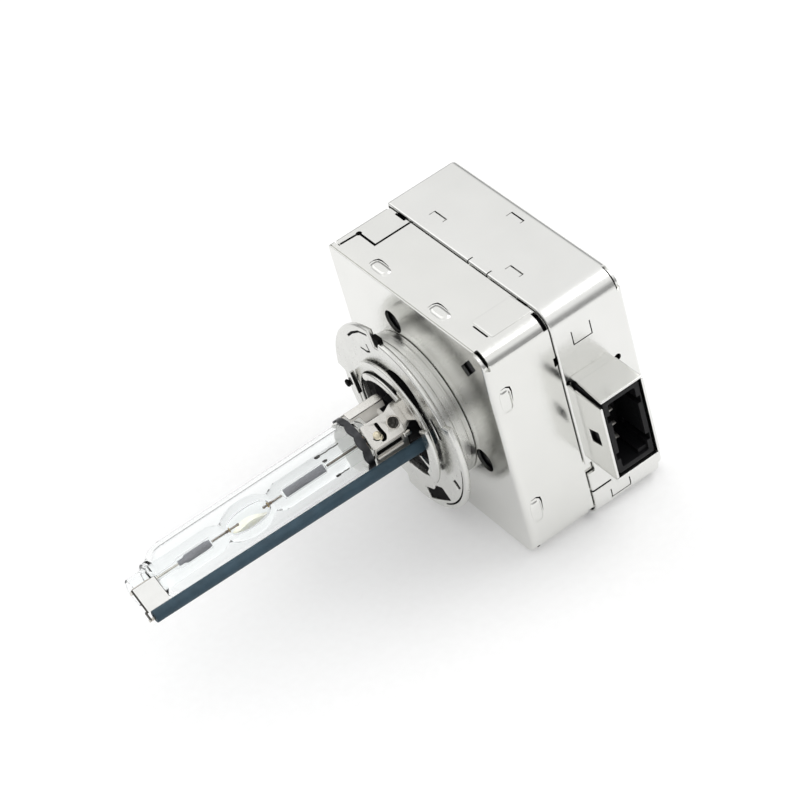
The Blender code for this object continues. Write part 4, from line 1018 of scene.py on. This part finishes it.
def salts():
    """Salt condensate along the chamber's lower wall, and brown deposits at both necks."""
    chamber_y, chamber_half, chamber_r = -27.55, 3.75, 1.46
    start, length, thickness = -30.7, 6, 0.22

    def spots(t, s):
        y = start + length * t
        reach = chamber_r * sqrt(max(0, 1 - ((y - chamber_y) / chamber_half) ** 2)) - 0.03
        spread = radians(82) * max(0, sin(pi * t)) ** 0.5 + 0.02
        angle = radians(-62) + spread * s
        depth = thickness * (1 - s * s) * sin(pi * t) + 0.01
        return polar(reach, angle, y), polar(max(0.05, reach - depth), angle, y)

    make("salt_pool", "salt", "alumina", [slab(28, 18, spots)])
    wire_r, thin, thick = 0.175, 0.19, 0.222
    cuffs = [from_y(start, (0, wire_r), (0, thin), (0.2, thick))
             + from_y(end, (-0.2, thick), (0, thin), (0, wire_r))
             for start, end in ((-31.7, -31.2), (-24, -23.4))]
    make("neck_deposit", "deposit", "tungsten", [lathe(cuff, 24) for cuff in cuffs])
    collar = ((0.04, 0.26), (0.16, 0.44), (0.22, 0.42), (0.1, 0.26))
    rings = [[(end + inward * y, radius) for y, radius in collar]
             for end, inward in ((-31.18, 1), (-23.92, -1))]
    make("amber_deposit", "amber_deposit", "alumina", [lathe(ring, 32) for ring in rings])


def seal_marks():
    """Short dark ridges left by the burner's seal round the rear leg."""
    radius, ridges = LEG_R + 0.03, []
    for start, end, degrees, thick in (
            (-13.8, -9.9, 95, 0.09), (-14.2, -13.5, 95, 0.22), (-13.7, -13.1, 62, 0.18),
            (-12.4, -10.4, -22, 0.09), (-12.8, -12.1, -22, 0.2)):
        path = [polar(radius, radians(degrees) + 0.03 * sin(1.7 * k), start + (end - start) * k / 8)
                for k in range(9)]
        ridges.append(sweep(path, circle(thick, steps=8)))
    make("seal_marks", "burnt_weld", "quartz", ridges)


LEAD_SIDE = Vector((1.69, 2.24))  # where the front lead comes back beside the axis


def leads():
    x, z = LEAD_SIDE
    end, wire_r, soft = TAIL_Y - 0.55, 0.2, 0.08
    path = [(0, -40.4, 0), (0, -44, 0), (0, end + 0.7, 0)]
    for swing in [pi * k / 8 for k in range(9)]:
        share = 0.5 - 0.5 * cos(swing)
        path.append((x * share, end + 0.35 - 0.35 * sin(swing), z * share))
    path += [(x, end + 0.9, z), (x, -45.9, z)]
    lead = sweep(path, circle(wire_r, steps=16), Vector((-z, 0, x)))
    make("lead_front", "nickel", "nickel", [lead], "front_lead")
    low, high = [corner.y for corner in lamp_box("rear_lead")]
    wire = [(low, 0), (low, wire_r - soft), (low + soft, wire_r)]
    wire += [(high - soft, wire_r), (high, wire_r - soft), (high, 0)]
    make("lead_rear", "tungsten", "nickel", [lathe(wire, 24)], "rear_lead")


def return_bracket():
    """Thin strip from the folded lead down to the rod, wrapped over the rod's end."""
    end = Vector((ROD_X, ROD_Z))
    along = (end - LEAD_SIDE).normalized()
    across = Vector((-along.y, along.x))
    front, back = lamp_box("return_bracket")[0].y, -45.1
    near = LEAD_SIDE + along * 0.1 + across * 0.28
    far = end - along * (ROD_R + 0.12) + across * 0.1

    def strip(start, finish, half):
        edge = across * half
        return [tuple(spot) for spot in (start + edge, finish + edge, finish - edge, start - edge)]

    def bead(start, finish, y0, y1, radius, sides, *up):
        return sweep([place(*start, y0), place(*finish, y1)], circle(radius, steps=sides), *up)

    sheet = plate(strip(near, far, 0.08), front + 0.35, back, 0.04)
    make("bracket", "bright_strip", "nickel", [sheet], "return_bracket")
    tab = soften(strip(far - along * 0.3, end + along * 0.15, 0.4), 0.3)
    make("bracket_weld", "burnt_weld", "nickel", [
        bead(near, far, front + 0.42, front + 0.42, 0.15, 10),
        bead(near, near, front + 0.4, back, 0.08, 8),
        bead(near, far - along * 0.4, back, back, 0.1, 8, ALONG),
        plate(tab, front + 0.02, front + 0.22, 0.05)])


def ceramic_rod():
    """The insulator beside the tube; it leans a little, as in the photo."""
    front, rear, bore, soft = ROD_LOW.y, ROD_HIGH.y, 0.42, 0.12
    lean, level_y = 0.018, -40
    profile = from_y(front, (0, bore), (0, ROD_R - soft), (soft * 0.3, ROD_R - soft * 0.3), (soft, ROD_R))
    profile += [(rear, ROD_R), (rear, bore)]
    mesh = mesh_of("rod", [lathe(profile, 48, (ROD_X, 0, ROD_Z))])
    for vert in mesh.vertices:
        vert.co.z -= lean * (vert.co.y - level_y)
    finish_piece(mesh, "rod", "blue_ceramic", "blue_ceramic", "ceramic_rod")


def carry_over():
    """Looks of the CAD pieces that stay as they are, most of them inside the box."""
    looks = {
        "nickel": "return_wire spark_gap_cap_left spark_gap_cap_right",
        "black_plastic": "inner_housing transformer_bobbin",
        "board": "circuit_board", "ferrite": "transformer_core", "winding": "secondary_winding",
        "copper": "primary_winding high_voltage_contact high_voltage_strip return_terminal",
        "alumina": "spark_gap charging_resistor", "film": "ignition_capacitor filter_capacitor",
    }
    for look, nodes in looks.items():
        for node in nodes.split():
            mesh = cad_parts[node].data
            mesh.materials.clear()
            mesh.materials.append(LOOKS[look])


# ---- stage
def stage():
    half = 3
    mesh = bpy.data.meshes.new("floor")
    mesh.from_pydata([(u, v, 0) for u, v in rectangle(-half, half, -half, half)], [], [(0, 1, 2, 3)])
    floor = new_object("floor", mesh)
    paper, tree, vector = new_look("floor_paper")
    fibres = noise(tree, vector, 700)
    surface(tree, Base_Color=ramp(tree, fibres, (0.2, 0.76), (0.8, 0.79)), Roughness=0.8,
            Specular_IOR_Level=0.1, Emission_Color=(1, 1, 1, 1), Emission_Strength=0.21)
    mesh.materials.append(paper)

    scene = bpy.context.scene
    scene.world = bpy.data.worlds.new("studio")
    scene.world.use_nodes = True
    tree = scene.world.node_tree
    coords = add_node(tree, "TexCoord").outputs["Generated"]
    rise = add_node(tree, "SeparateXYZ", Vector=coords).outputs["Z"]
    background = tree.nodes["Background"].inputs
    feed(tree, background["Color"], ramp(tree, rise, (0.06, 0.32), (0.33, 0.4), (0.55, 0.96), (1, 1)))
    feed(tree, background["Strength"], 1)
    scene.view_settings.view_transform = "Standard"
    area_light("key", (0.12, 0.55, 0.62), (0, 0, 0.02), 0.6, 2.6)
    area_light("fill", (-0.55, -0.1, 0.5), (0, -0.03, 0.02), 0.6, 0.4)
    camera(scene)


def area_light(name, spot, aim, size, power):
    data = bpy.data.lights.new(name, "AREA")
    data.size = size
    data.energy = power
    lamp = new_object(name, data)
    lamp.location = spot
    lamp.rotation_euler = (Vector(aim) - Vector(spot)).to_track_quat("-Z", "Y").to_euler()


def camera(scene):
    """A long lens above and to the right of the burner, rolled a little."""
    data = bpy.data.cameras.new("camera")
    data.lens = 153
    data.sensor_width = 36
    data.clip_start = 0.01
    eye = new_object("camera", data)
    right = Vector((0.56735, 0.79323, -0.22112))
    back = Vector((0.69145, -0.31306, 0.65107))
    up = back.cross(right).normalized()
    right = up.cross(back).normalized()
    turn = Matrix((right, up, back.normalized())).transposed().to_4x4()
    spot = ORIGIN + Vector((355.456, -159.04, 337.733)) * MM
    eye.matrix_world = Matrix.Translation(spot) @ turn
    scene.camera = eye


for build in (front_shell, rear_cover, connector_guard, connector_socket, contact_pins, flange_plate,
              flange_shade_plugs, base_drum, mount_ring, base_core, burner_holder, clamp_band, outer_tube, arc_tube,
              electrodes, foils, salts, seal_marks, leads, return_bracket, ceramic_rod, carry_over, stage):
    build()
